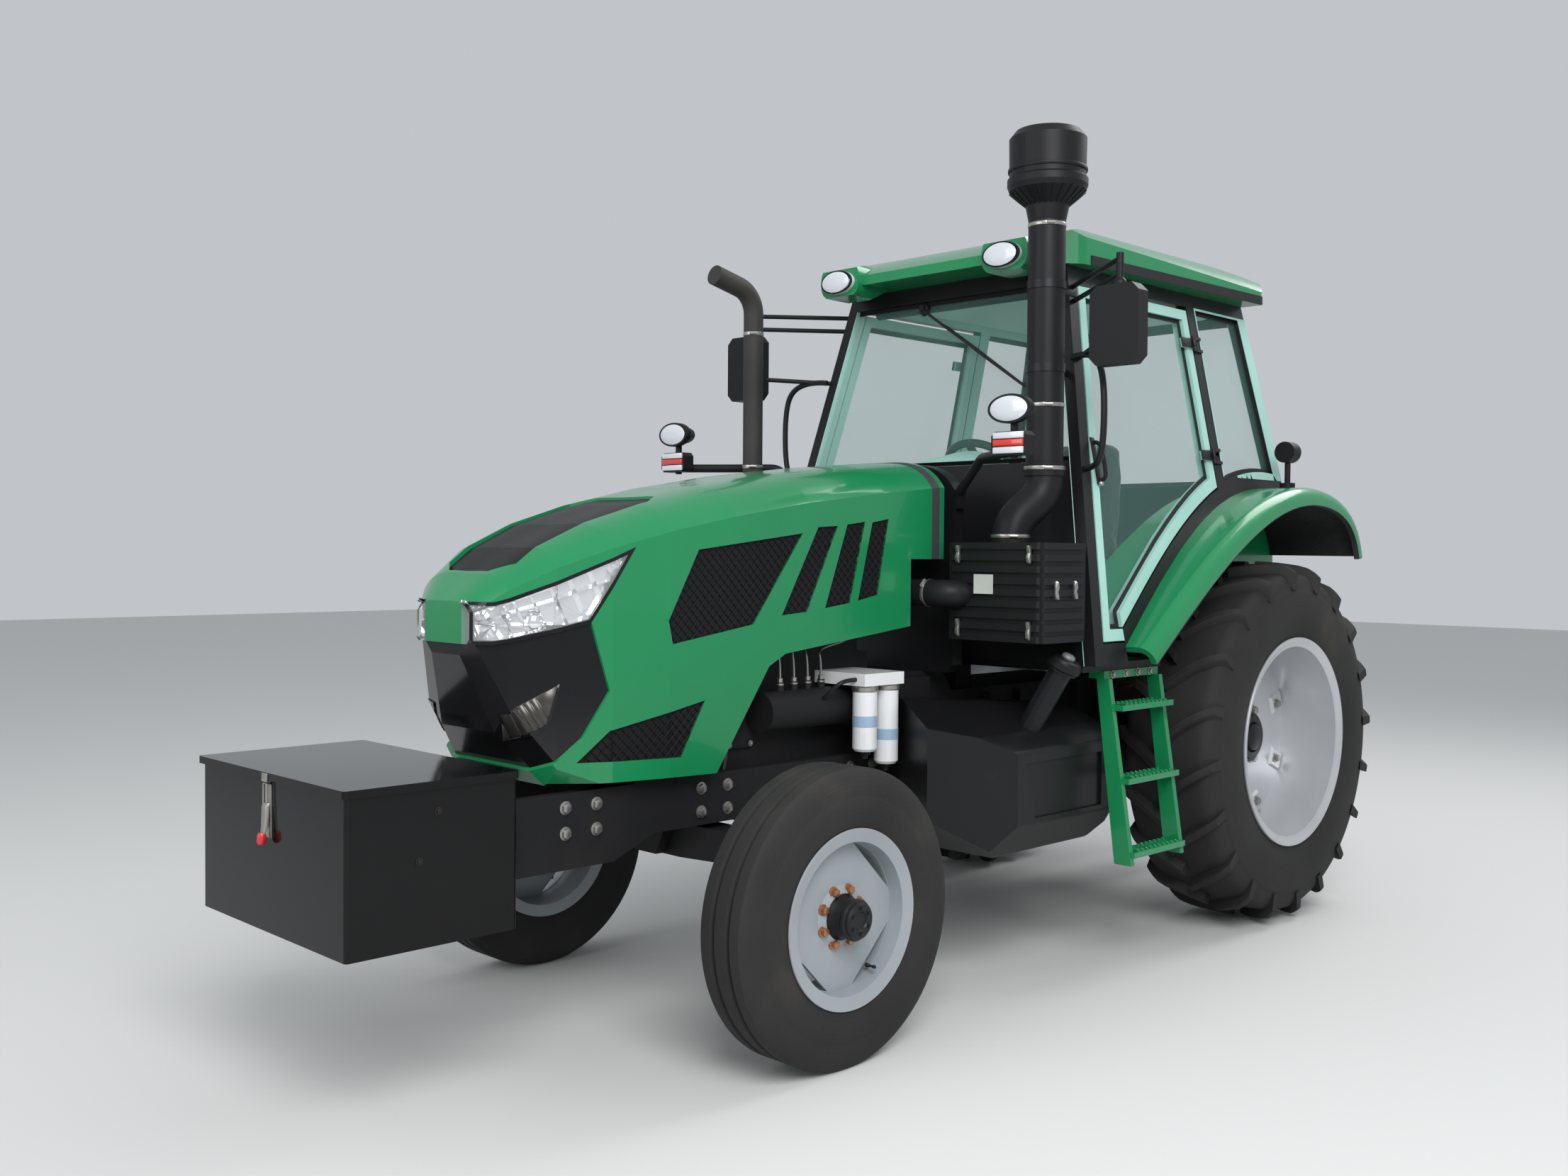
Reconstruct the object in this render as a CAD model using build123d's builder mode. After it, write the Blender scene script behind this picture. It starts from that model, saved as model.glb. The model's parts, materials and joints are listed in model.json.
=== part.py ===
"""Two-wheel-drive farm tractor with a cab: an assembly of separate pieces, in millimetres.

The origin is on the ground below the middle of the whole machine, +X forward, +Y to the
driver's left, +Z up. Places along the machine are stations: distances ahead of the rear axle.
"""

import os

from build123d import *

os.makedirs("parts", exist_ok=True)

# Overall layout
WHEELBASE = 2780
HOOD_REAR = 1690  # station of the bonnet's rear edge
NOSE_OVERHANG = 910  # the bonnet's nose ahead of the front axle
FRAME_OVERHANG = 860  # the front frame's end plate ahead of the front axle
LINK_REACH = 1060  # ends of the lower links behind the rear axle
GAP = 0.3  # clearance between pieces that seat on each other
RUN = 8.0  # clearance round moving panels

# Rear wheels
REAR_TYRE_R = 800
REAR_TYRE_WIDTH = 450
REAR_TRACK = 1590
REAR_RIM_FLANGE_R = 460
REAR_SEAT_R = 432
REAR_STUB_R = 60
LUG_COUNT = 20  # tread bars on each half of a rear tyre
LUG_HEIGHT = 44

# Front wheels
FRONT_TYRE_R = 475
FRONT_TYRE_WIDTH = 215
FRONT_TRACK = 1620
FRONT_RIM_FLANGE_R = 284
FRONT_SEAT_R = 254
FRONT_STUB_R = 30
RIM_WALL = 12

# Front axle and steering
KINGPIN_R = 30
BOSS_R = 55
BOSS_LOW = 520
BOSS_HIGH = 720
BEAM_LOW = 560
BEAM_HIGH = 680
BEAM_HALF = 55
PIVOT_Z = 622
PIVOT_R = 38
STEER_ARM = 190
ARM_HIGH = 515
ARM_THICK = 26
ROD_R = 16

# Cab: half width of its side plane at a height, and how much that plane leans in
SIDE_Y = 750
SIDE_Z = 2000
SIDE_LEAN = 0.21
WALL = 50  # thickness of the doors and the cab frame
GLASS = 8
CAB_TOP = 2790
FLOOR_Z = 1200
PILLAR = 70
HINGE_X = 290  # station of the door hinges
HINGE_OUT = 14  # hinge line outside the door's face
CAB_REAR_LOW = -330
CAB_REAR_HIGH = -240
SCREEN_LOW_X = 1436  # station of the windscreen plane at SCREEN_LOW_Z
SCREEN_LOW_Z = 1300
SCREEN_SLOPE = 0.167  # how far the windscreen leans back for each millimetre of height

# Bonnet
HOOD_WALL = 22
HOOD_HALF = 380
SET_BACK = 9  # how far the black panels lie below the green skin

# Ballast box
BOX_LENGTH = 540
BOX_WIDTH = 890
BOX_HEIGHT = 440
BOX_TOP = 965
BOX_WALL = 12
BOX_STANDOFF = 74  # from the front frame's end plate
LID_THICK = 22
LID_LIP = 12

# Derived layout
FRAME_FRONT = WHEELBASE + FRAME_OVERHANG
BOX_REAR = FRAME_FRONT + BOX_STANDOFF
NOSE_REACH = BOX_REAR + BOX_LENGTH + LID_LIP
REAR_AXLE_X = (LINK_REACH - NOSE_REACH) / 2
HOOD_LENGTH = WHEELBASE + NOSE_OVERHANG - HOOD_REAR


def ahead(station):
    """The X of a station."""
    return REAR_AXLE_X + station


def fore(share):
    """The station of a place given as a share of the bonnet's length, from its rear edge."""
    return HOOD_REAR + share * HOOD_LENGTH


def side_prism(points, low_y, high_y):
    """A side-view outline, (station, height), carried across from low_y to high_y."""
    with BuildPart() as prism:
        with BuildSketch(Plane.XZ.offset(-high_y)):
            with BuildLine():
                Polyline(*[(ahead(x), z) for x, z in points], close=True)
            make_face()
        extrude(amount=high_y - low_y)
    return prism.part


def cross_prism(points, low_x, high_x):
    """A front-view outline, (across, height), carried from one station to another."""
    with BuildPart() as prism:
        with BuildSketch(Plane.YZ.offset(ahead(low_x))):
            with BuildLine():
                Polyline(*points, close=True)
            make_face()
        extrude(amount=high_x - low_x)
    return prism.part


def plan_prism(points, low_z, high_z):
    """A plan outline, (station, across), carried from low_z to high_z."""
    with BuildPart() as prism:
        with BuildSketch(Plane.XY.offset(low_z)):
            with BuildLine():
                Polyline(*[(ahead(x), y) for x, y in points], close=True)
            make_face()
        extrude(amount=high_z - low_z)
    return prism.part


def rod(start, end, radius):
    """A round bar between two points, each (station, across, height)."""
    first = Vector(ahead(start[0]), start[1], start[2])
    run = Vector(ahead(end[0]), end[1], end[2]) - first
    with BuildPart() as bar:
        with BuildSketch(Plane(origin=first, z_dir=run)):
            Circle(radius)
        extrude(amount=run.length)
    return bar.part


def bent_bar(points, radius, bend):
    """A round bar led through several points, each (station, across, height), with rounded bends."""
    with BuildPart() as bar:
        with BuildLine() as path:
            FilletPolyline(*[(ahead(x), y, z) for x, y, z in points], radius=bend)
        with BuildSketch(Plane(origin=path.wire() @ 0, z_dir=path.wire() % 0)):
            Circle(radius)
        sweep(path=path.wire())
    return bar.part


def block(low, high):
    """A plain block between two corners, each (station, across, height)."""
    middle = [(a + b) / 2 for a, b in zip(low, high)]
    size = [b - a for a, b in zip(low, high)]
    with BuildPart() as solid:
        with Locations((ahead(middle[0]), middle[1], middle[2])):
            Box(*size)
    return solid.part


def spun(points, station, height):
    """A closed outline of (across, radius) points turned about a crosswise axle."""
    centre = (ahead(station), 0, height)
    with BuildPart() as wheel:
        with BuildSketch(Plane(origin=centre, x_dir=(0, 1, 0), z_dir=(1, 0, 0))):
            with BuildLine():
                Polyline(*points, close=True)
            make_face()
        revolve(axis=Axis(centre, (0, 1, 0)))
    return wheel.part


def turned(points, station, across):
    """A closed outline of (radius, height) points turned about an upright axis."""
    centre = (ahead(station), across, 0)
    with BuildPart() as solid:
        with BuildSketch(Plane(origin=centre, x_dir=(1, 0, 0), z_dir=(0, -1, 0))):
            with BuildLine():
                Polyline(*points, close=True)
            make_face()
        revolve(axis=Axis(centre, (0, 0, 1)))
    return solid.part


def mirrored(piece):
    """The same piece on the other side of the centre plane."""
    with BuildPart() as other:
        add(mirror(piece, about=Plane.XZ, mode=Mode.PRIVATE))
    return other.part


def joined(*pieces):
    """Several pieces of one node, fused where they meet."""
    with BuildPart() as node:
        for piece in pieces:
            add(piece)
    return node.part


def common(*pieces):
    """What several pieces have in common."""
    with BuildPart() as rest:
        add(pieces[0])
        for piece in pieces[1:]:
            add(piece, mode=Mode.INTERSECT)
    return rest.part


def without(piece, *cuts):
    """A piece with others cut from it."""
    with BuildPart() as rest:
        add(piece)
        for cut in cuts:
            add(cut, mode=Mode.SUBTRACT)
    return rest.part


def both_sides(piece):
    """A piece and its mirror image across the centre plane."""
    with BuildPart() as pair:
        add(piece)
        mirror(about=Plane.XZ)
    return pair.part


def save(part, name):
    part.label = name
    export_step(part, f"parts/{name}.step")


# Rear tyres: a round carcass under a many-sided tread band, with bars that lean back from its middle
REAR_MID = REAR_TRACK / 2
REAR_HALF = REAR_TYRE_WIDTH / 2
REAR_IN = REAR_MID - REAR_HALF
REAR_OUT = REAR_MID + REAR_HALF
TREAD_R = REAR_TYRE_R - LUG_HEIGHT
TREAD_HALF = REAR_HALF - 16
LUG_TOP = REAR_TYRE_R - 8  # flat tops, so that their corners reach the tyre's radius
LUG_ROOT = TREAD_R - 40
half_carcass = [
    (REAR_HALF - 35, REAR_SEAT_R + GAP),
    (REAR_HALF, 0.72 * TREAD_R),
    (TREAD_HALF, TREAD_R - 14),
]
carcass = [(REAR_MID - y, r) for y, r in half_carcass]
carcass += [(REAR_MID + y, r) for y, r in reversed(half_carcass)]
pitch = 360 / LUG_COUNT


def tread_bar(side):
    """One tread bar at the top of a wheel, on one side of its centre line."""
    outline = [
        (96, -8), (8, 0.47 * TREAD_HALF), (-62, TREAD_HALF),
        (-112, TREAD_HALF), (-46, 0.47 * TREAD_HALF), (44, -8),
    ]
    with BuildPart() as bar:
        with BuildSketch(Plane.XY.offset(LUG_ROOT)):
            with BuildLine():
                Polyline(*[(u, side * v) for u, v in outline], close=True)
            make_face()
        extrude(amount=LUG_TOP - LUG_ROOT)
    return bar.part


with BuildPart() as tread:
    with BuildSketch(Plane.XZ.offset(-TREAD_HALF)):
        RegularPolygon(TREAD_R, 2 * LUG_COUNT)
    extrude(amount=2 * TREAD_HALF)
    for side, start in ((1, 0.55 * pitch), (-1, 0.05 * pitch)):
        bar = tread_bar(side)
        for k in range(LUG_COUNT):
            add(bar.moved(Location((0, 0, 0), (0, start + k * pitch, 0))))
    with BuildSketch(Plane.XZ.offset(-TREAD_HALF)):
        Circle(TREAD_R - 60)
    extrude(amount=2 * TREAD_HALF, mode=Mode.SUBTRACT)
rear_tyre_left = joined(
    spun(carcass, 0, REAR_TYRE_R), tread.part.moved(Location((REAR_AXLE_X, REAR_MID, REAR_TYRE_R)))
)
save(rear_tyre_left, "rear_tyre_left")
save(mirrored(rear_tyre_left), "rear_tyre_right")

# Rear rims: a deep dish with the hub disc set in behind it
REAR_HUB_FACE = REAR_MID - 155
REAR_DISC_Y = REAR_MID - 60
REAR_FLANGE_IN = REAR_IN + 12
REAR_FLANGE_OUT = REAR_OUT - 12
DISH_R = REAR_SEAT_R - RIM_WALL
rear_rim = [
    (REAR_HUB_FACE, REAR_STUB_R + GAP),
    (REAR_HUB_FACE, 150),
    (REAR_DISC_Y - 25, 160),
    (REAR_DISC_Y - 8, 300),
    (REAR_DISC_Y - 8, DISH_R - 18),
    (REAR_FLANGE_IN + RIM_WALL, DISH_R),
    (REAR_FLANGE_IN, REAR_RIM_FLANGE_R),
    (REAR_FLANGE_IN + 14, REAR_RIM_FLANGE_R),
    (REAR_FLANGE_IN + 14, REAR_SEAT_R),
    (REAR_FLANGE_OUT - 14, REAR_SEAT_R),
    (REAR_FLANGE_OUT - 14, REAR_RIM_FLANGE_R),
    (REAR_FLANGE_OUT, REAR_RIM_FLANGE_R),
    (REAR_FLANGE_OUT - RIM_WALL, DISH_R),
    (REAR_DISC_Y + 8, DISH_R - 18),
    (REAR_DISC_Y + 8, 300),
    (REAR_DISC_Y, 130),
    (REAR_DISC_Y + 55, 110),
    (REAR_DISC_Y + 55, REAR_STUB_R + GAP),
]
rear_rim_left = spun(rear_rim, 0, REAR_TYRE_R)
save(rear_rim_left, "rear_rim_left")
save(mirrored(rear_rim_left), "rear_rim_right")

# Front tyres: ribbed road tyres, their grooves left plain
FRONT_MID = FRONT_TRACK / 2
FRONT_HALF = FRONT_TYRE_WIDTH / 2
half_front = [
    (FRONT_HALF - 22, FRONT_SEAT_R + GAP),
    (FRONT_HALF, 0.74 * FRONT_TYRE_R),
    (FRONT_HALF - 6, 0.905 * FRONT_TYRE_R),
    (FRONT_HALF - 24, FRONT_TYRE_R),
]
front_outline = [(FRONT_MID - y, r) for y, r in half_front]
front_outline += [(FRONT_MID + y, r) for y, r in reversed(half_front)]
front_tyre_left = spun(front_outline, WHEELBASE, FRONT_TYRE_R)
save(front_tyre_left, "front_tyre_left")
save(mirrored(front_tyre_left), "front_tyre_right")

# Front rims: a disc with four openings between its straight sides and the round well
FLANGE_IN = FRONT_MID - FRONT_HALF + 2
FLANGE_OUT = FRONT_MID + FRONT_HALF - 2
FRONT_DISC_Y = FRONT_MID + 38
FRONT_HUB_IN = FRONT_MID - 105
FRONT_HUB_END = FRONT_MID + 128
STUB_END = FRONT_MID + 55
WELL_R = FRONT_SEAT_R - RIM_WALL
front_rim = [
    (FRONT_HUB_IN, FRONT_STUB_R + GAP),
    (FRONT_HUB_IN, 80),
    (FRONT_DISC_Y - 30, 80),
    (FRONT_DISC_Y - 6, 110),
    (FRONT_DISC_Y - 6, WELL_R - 6),
    (FLANGE_IN + 10, WELL_R),
    (FLANGE_IN, FRONT_RIM_FLANGE_R),
    (FLANGE_IN + 12, FRONT_RIM_FLANGE_R),
    (FLANGE_IN + 12, FRONT_SEAT_R),
    (FLANGE_OUT - 12, FRONT_SEAT_R),
    (FLANGE_OUT - 12, FRONT_RIM_FLANGE_R),
    (FLANGE_OUT, FRONT_RIM_FLANGE_R),
    (FLANGE_OUT - 10, WELL_R),
    (FRONT_DISC_Y + 6, WELL_R - 6),
    (FRONT_DISC_Y + 6, 100),
    (FRONT_DISC_Y + 22, 64),
    (FRONT_HUB_END, 56),
    (FRONT_HUB_END, 0),
    (STUB_END + 5, 0),
    (STUB_END + 5, FRONT_STUB_R + GAP),
]
with BuildPart() as front_rim_left:
    add(spun(front_rim, WHEELBASE, FRONT_TYRE_R))
    with BuildSketch(Plane.XZ.offset(-FRONT_DISC_Y - 20)):
        with Locations((ahead(WHEELBASE), FRONT_TYRE_R)):
            Circle(WELL_R - 8)
            Rectangle(1.66 * WELL_R, 1.66 * WELL_R, rotation=45, mode=Mode.SUBTRACT)
    extrude(amount=40, mode=Mode.SUBTRACT)
save(front_rim_left.part, "front_rim_left")
save(mirrored(front_rim_left.part), "front_rim_right")

# Front axle: a beam that tapers outwards on a pivot pin, with a kingpin boss at each end
KINGPIN_Y = FRONT_MID - 170
BOSS_MID = (BOSS_LOW + BOSS_HIGH) / 2
BEAM_END = KINGPIN_Y - BOSS_R / 2
beam_front = [
    (-BEAM_END, BEAM_LOW + 25), (-140, BEAM_LOW), (140, BEAM_LOW), (BEAM_END, BEAM_LOW + 25),
    (BEAM_END, BEAM_HIGH), (-BEAM_END, BEAM_HIGH),
]
with BuildPart() as front_axle:
    add(cross_prism(beam_front, WHEELBASE - BEAM_HALF, WHEELBASE + BEAM_HALF))
    with Locations((ahead(WHEELBASE), KINGPIN_Y, BOSS_MID), (ahead(WHEELBASE), -KINGPIN_Y, BOSS_MID)):
        Cylinder(BOSS_R, BOSS_HIGH - BOSS_LOW)
        Cylinder(KINGPIN_R + GAP, BOSS_HIGH - BOSS_LOW, mode=Mode.SUBTRACT)
    with Locations(Location((ahead(WHEELBASE), 0, PIVOT_Z), (0, 90, 0))):
        Cylinder(PIVOT_R + GAP, 2 * BEAM_HALF, mode=Mode.SUBTRACT)
save(front_axle.part, "front_axle")

# Knuckles: kingpin, stub axle and a steering arm straight back
PIN_TOP = BOSS_HIGH + 25
KNUCKLE_R = 52


def kingpin_bar(low, high, radius):
    """An upright round bar on the left kingpin's line."""
    return rod((WHEELBASE, KINGPIN_Y, low), (WHEELBASE, KINGPIN_Y, high), radius)


def stub_bar(end, radius):
    """A bar on the left stub axle's line."""
    return rod((WHEELBASE, KINGPIN_Y, FRONT_TYRE_R), (WHEELBASE, end, FRONT_TYRE_R), radius)


with BuildPart() as steering_arm:
    with BuildSketch(Plane.XY.offset(ARM_HIGH - ARM_THICK)):
        with Locations((ahead(WHEELBASE), KINGPIN_Y), (ahead(WHEELBASE - STEER_ARM), KINGPIN_Y)):
            Circle(BOSS_R - 25)
        with Locations((ahead(WHEELBASE - STEER_ARM / 2), KINGPIN_Y)):
            Rectangle(STEER_ARM, 44)
    extrude(amount=ARM_THICK)
knuckle_left = joined(
    kingpin_bar(BOSS_LOW - 20, PIN_TOP, KINGPIN_R),
    kingpin_bar(BOSS_HIGH + 3, PIN_TOP, BOSS_R - 5),
    kingpin_bar(FRONT_TYRE_R - 50, BOSS_LOW - 3, KNUCKLE_R),
    stub_bar(FRONT_HUB_IN - 3, FRONT_STUB_R + 15),
    stub_bar(STUB_END, FRONT_STUB_R),
    steering_arm.part,
)
save(knuckle_left, "knuckle_left")
save(mirrored(knuckle_left), "knuckle_right")

# Tie rod: joins the two steering arms, standing on them
ROD_Z = ARM_HIGH + GAP + 18
arm_end = WHEELBASE - STEER_ARM
rod_bar = rod((arm_end, -KINGPIN_Y, ROD_Z), (arm_end, KINGPIN_Y, ROD_Z), ROD_R)
rod_end = rod((arm_end, KINGPIN_Y, ARM_HIGH + GAP), (arm_end, KINGPIN_Y, ROD_Z + 18), 26)
save(joined(rod_bar, both_sides(rod_end)), "tie_rod")

# Front frame: two rails, the axle saddle with its pivot pin, and the arms that carry the ballast box
RAIL_IN = 265
RAIL_OUT = 300
RAIL_TOP = 870
RAIL_LOW = 700
RAIL_FOOT = 630
PIN_REACH = BEAM_HALF + 50
rail = side_prism(
    [
        (fore(0.105), RAIL_LOW), (fore(0.105), RAIL_TOP), (FRAME_FRONT, RAIL_TOP), (FRAME_FRONT, RAIL_FOOT),
        (WHEELBASE + 470, RAIL_FOOT), (WHEELBASE + 300, RAIL_LOW),
    ],
    RAIL_IN,
    RAIL_OUT,
)
saddle = block((WHEELBASE - 140, -RAIL_IN, RAIL_LOW), (WHEELBASE + 140, RAIL_IN, RAIL_LOW + 60))
front_plate = block((FRAME_FRONT - 40, -RAIL_IN, RAIL_FOOT), (FRAME_FRONT, RAIL_IN, RAIL_TOP))
hanger = [(-130, RAIL_LOW), (-70, PIVOT_Z - 55), (70, PIVOT_Z - 55), (130, RAIL_LOW)]
rear_hanger = cross_prism(hanger, WHEELBASE - PIN_REACH, WHEELBASE - BEAM_HALF - RUN)
front_hanger = cross_prism(hanger, WHEELBASE + BEAM_HALF + RUN, WHEELBASE + PIN_REACH)
pivot_pin = rod((WHEELBASE - PIN_REACH, 0, PIVOT_Z), (WHEELBASE + PIN_REACH, 0, PIVOT_Z), PIVOT_R)
box_arm = block((FRAME_FRONT, 140, RAIL_FOOT + 10), (BOX_REAR, 190, RAIL_TOP))
save(
    joined(
        both_sides(rail), saddle, front_plate, rear_hanger, front_hanger, pivot_pin, both_sides(box_arm)
    ),
    "front_frame",
)

# Ballast box: a folded sheet box with a lid on a hinge behind it
BOX_MID = ahead(BOX_REAR + BOX_LENGTH / 2)
LID_HINGE = BOX_REAR - 10
LID_AXIS_Z = BOX_TOP + GAP
BARREL_R = 9
LID_PIN_R = 4
with BuildPart() as box_shell:
    with Locations((BOX_MID, 0, BOX_TOP - BOX_HEIGHT / 2)):
        Box(BOX_LENGTH, BOX_WIDTH, BOX_HEIGHT)
    fillet(box_shell.edges().filter_by(Axis.Z), BOX_WALL)
    with Locations((BOX_MID, 0, BOX_TOP - BOX_HEIGHT / 2 + BOX_WALL)):
        Box(BOX_LENGTH - 2 * BOX_WALL, BOX_WIDTH - 2 * BOX_WALL, BOX_HEIGHT, mode=Mode.SUBTRACT)
box_lug = joined(
    rod((LID_HINGE, 255, LID_AXIS_Z), (LID_HINGE, 300, LID_AXIS_Z), BARREL_R),
    block((LID_HINGE, 255, BOX_TOP - 40), (BOX_REAR, 300, BOX_TOP - 5)),
    rod((LID_HINGE, 255, LID_AXIS_Z), (LID_HINGE, 375, LID_AXIS_Z), LID_PIN_R),
)
save(joined(box_shell.part, both_sides(box_lug)), "ballast_box")
with BuildPart() as lid_plate:
    with Locations((ahead(BOX_REAR + (BOX_LENGTH + LID_LIP) / 2), 0, LID_AXIS_Z + LID_THICK / 2)):
        Box(BOX_LENGTH + LID_LIP, BOX_WIDTH + 2 * LID_LIP, LID_THICK)
    fillet(lid_plate.edges().filter_by(Axis.Z), LID_LIP)
lid_bore = rod((LID_HINGE, 290, LID_AXIS_Z), (LID_HINGE, 380, LID_AXIS_Z), LID_PIN_R + GAP)
lid_barrel = joined(
    rod((LID_HINGE, 301, LID_AXIS_Z), (LID_HINGE, 374, LID_AXIS_Z), BARREL_R),
    block((LID_HINGE, 301, LID_AXIS_Z), (BOX_REAR + LID_LIP, 374, LID_AXIS_Z + BARREL_R)),
)
save(joined(lid_plate.part, both_sides(without(lid_barrel, lid_bore))), "box_lid")

# Engine: block, head and cover, sump, fan, injection pump and alternator, on feet between the rails
ENGINE_Y = 210
block_core = side_prism(
    [
        (fore(0.13), 780), (fore(0.13), 1240), (fore(0.16), 1250), (fore(0.16), 1480),
        (fore(0.575), 1480), (fore(0.575), 1250), (fore(0.605), 1240), (fore(0.605), 780),
    ],
    -ENGINE_Y,
    ENGINE_Y,
)
sump = side_prism(
    [(fore(0.15), 780), (fore(0.185), 630), (WHEELBASE - 300, 630), (WHEELBASE - 200, 780)], -180, 180
)
rocker = cross_prism([(-130, 1480), (130, 1480), (105, 1560), (-105, 1560)], fore(0.18), fore(0.555))
feet = block((fore(0.285), -RAIL_IN, 780), (fore(0.385), RAIL_IN, 860))
fan_hub = rod((fore(0.605), 0, 1180), (fore(0.65), 0, 1180), 70)
fan = rod((fore(0.65), 0, 1180), (fore(0.665), 0, 1180), 260)
pump = rod((fore(0.23), 290, 1060), (fore(0.455), 290, 1060), 70)
pump_seat = block((fore(0.255), 200, 1010), (fore(0.435), 290, 1110))
governor = rod((fore(0.2), 285, 1060), (fore(0.24), 285, 1060), 78)
outlets = [
    rod((fore(0.3 + 0.035 * k), 290, 1110), (fore(0.3 + 0.035 * k), 290, 1160), 14)
    for k in range(4)
]
alternator = rod((fore(0.5), 262, 1330), (fore(0.58), 262, 1330), 74)
alternator_seat = block((fore(0.52), 200, 1300), (fore(0.56), 262, 1360))
breather = rod((fore(0.3), 0, 1550), (fore(0.3), 0, 1620), 40)
save(
    joined(
        block_core, sump, rocker, feet, fan_hub, fan, pump, pump_seat, governor, *outlets, alternator,
        alternator_seat, breather,
    ),
    "engine",
)

# Filters: two canisters under a cast head on the engine's left side
FILTER_R = 45
FILTER_Y = 417
filter_long = turned([(0, 845), (FILTER_R - 8, 845), (FILTER_R, 855), (FILTER_R, 1140), (0, 1140)],
                     fore(0.191), FILTER_Y)
filter_short = turned([(0, 900), (FILTER_R - 8, 900), (FILTER_R, 910), (FILTER_R, 1140), (0, 1140)],
                      fore(0.25), FILTER_Y)
filter_head = block((fore(0.1675), ENGINE_Y, 1140), (fore(0.275), FILTER_Y + FILTER_R, 1185))
save(joined(filter_long, filter_short, filter_head), "filters")

# Radiator: a core between side tanks, standing on the frame rails behind the grille
radiator_core = block((fore(0.7), -300, RAIL_TOP), (fore(0.735), 300, 1540))
radiator_tank = block((fore(0.695), 300, RAIL_TOP), (fore(0.74), 330, 1560))
radiator_cap = block((fore(0.695), -330, 1540), (fore(0.74), 330, 1580))
save(joined(radiator_core, both_sides(radiator_tank), radiator_cap), "radiator")

# Transmission: bell housing, gearbox, rear housing with the lift, and the power take-off shaft
LINK_Y = REAR_IN - 158
LINK_PIVOT_X = -160
LINK_PIVOT_Z = 560
LIFT_PIVOT_Z = 1080
LIFT_ARM = 430
SHAFT_R = 35
CASE_HALF = LINK_Y - 162
PTO_Z = 690
BELL_FRONT = fore(0.13)
gear_core = side_prism(
    [
        (BELL_FRONT, 700), (BELL_FRONT, 1150), (1500, 1150), (1430, 1060), (330, 1060), (280, 1010),
        (-330, 1010), (-330, 600), (-200, 560), (330, 560), (420, 620), (1430, 620), (1500, 700),
    ],
    -CASE_HALF + 40,
    CASE_HALF - 40,
)
bell = side_prism([(BELL_FRONT, 720), (BELL_FRONT, 1130), (1620, 1130), (1620, 720)], -CASE_HALF, CASE_HALF)
case_ribs = [
    block((330 + 220 * k, -CASE_HALF, 640), (350 + 220 * k, CASE_HALF, 1040)) for k in range(5)
]
rear_case = side_prism(
    [(300, 590), (300, 1000), (-320, 1000), (-320, 620), (-200, 590)], -CASE_HALF, CASE_HALF
)
lift_case = side_prism(
    [(-60, 1005), (-90, 1140), (-230, 1140), (-300, 1005)], -CASE_HALF + 50, CASE_HALF - 50
)
rock_shaft = rod(
    (LINK_PIVOT_X, -LINK_Y - 13, LIFT_PIVOT_Z), (LINK_PIVOT_X, LINK_Y + 13, LIFT_PIVOT_Z), SHAFT_R
)
pto = rod((-330, 0, PTO_Z), (-440, 0, PTO_Z), 17.5)
top_bracket = block((-390, -60, 860), (-330, 60, 980))
save(
    joined(gear_core, bell, *case_ribs, rear_case, lift_case, rock_shaft, pto, top_bracket), "transmission"
)

# Rear axle: a trumpet on each side with the stub that carries the wheel, and the lower link brackets
LINK_THICK = 30
LINK_PIN_R = 15
trumpet = spun(
    [
        (CASE_HALF, 0), (CASE_HALF, 170), (CASE_HALF + 50, 150), (REAR_HUB_FACE - 80, 105),
        (REAR_HUB_FACE - 40, 140), (REAR_HUB_FACE - 3, 140), (REAR_HUB_FACE - 3, REAR_STUB_R),
        (REAR_DISC_Y + 35, REAR_STUB_R), (REAR_DISC_Y + 35, 0),
    ],
    0,
    REAR_TYRE_R,
)
bracket = [
    (LINK_PIVOT_X - 45, LINK_PIVOT_Z - 45), (-100, LINK_PIVOT_Z - 45), (-50, 700), (-50, 800),
    (-140, 800), (LINK_PIVOT_X - 45, 700),
]
bracket_in = side_prism(bracket, LINK_Y - 45, LINK_Y - LINK_THICK / 2 - RUN)
bracket_out = side_prism(bracket, LINK_Y + LINK_THICK / 2 + RUN, LINK_Y + 45)
link_pin = rod(
    (LINK_PIVOT_X, LINK_Y - 45, LINK_PIVOT_Z), (LINK_PIVOT_X, LINK_Y + 45, LINK_PIVOT_Z), LINK_PIN_R
)
save(both_sides(joined(trumpet, bracket_in, bracket_out, link_pin)), "rear_axle")


def bar_with_eyes(length, height, middle_y, start, bores):
    """A flat bar running back from a pivot, with an eye at each end and its bores."""
    station, level = start
    with BuildPart() as bar:
        with BuildSketch(Plane.XZ.offset(-(middle_y + LINK_THICK / 2))):
            with Locations((ahead(station), level), (ahead(station - length), level)):
                Circle(height * 0.75)
            with Locations((ahead(station - length / 2), level)):
                Rectangle(length, height)
            for place, bore in bores:
                with Locations((ahead(station - place), level)):
                    Circle(bore, mode=Mode.SUBTRACT)
        extrude(amount=LINK_THICK)
    return bar.part


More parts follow.
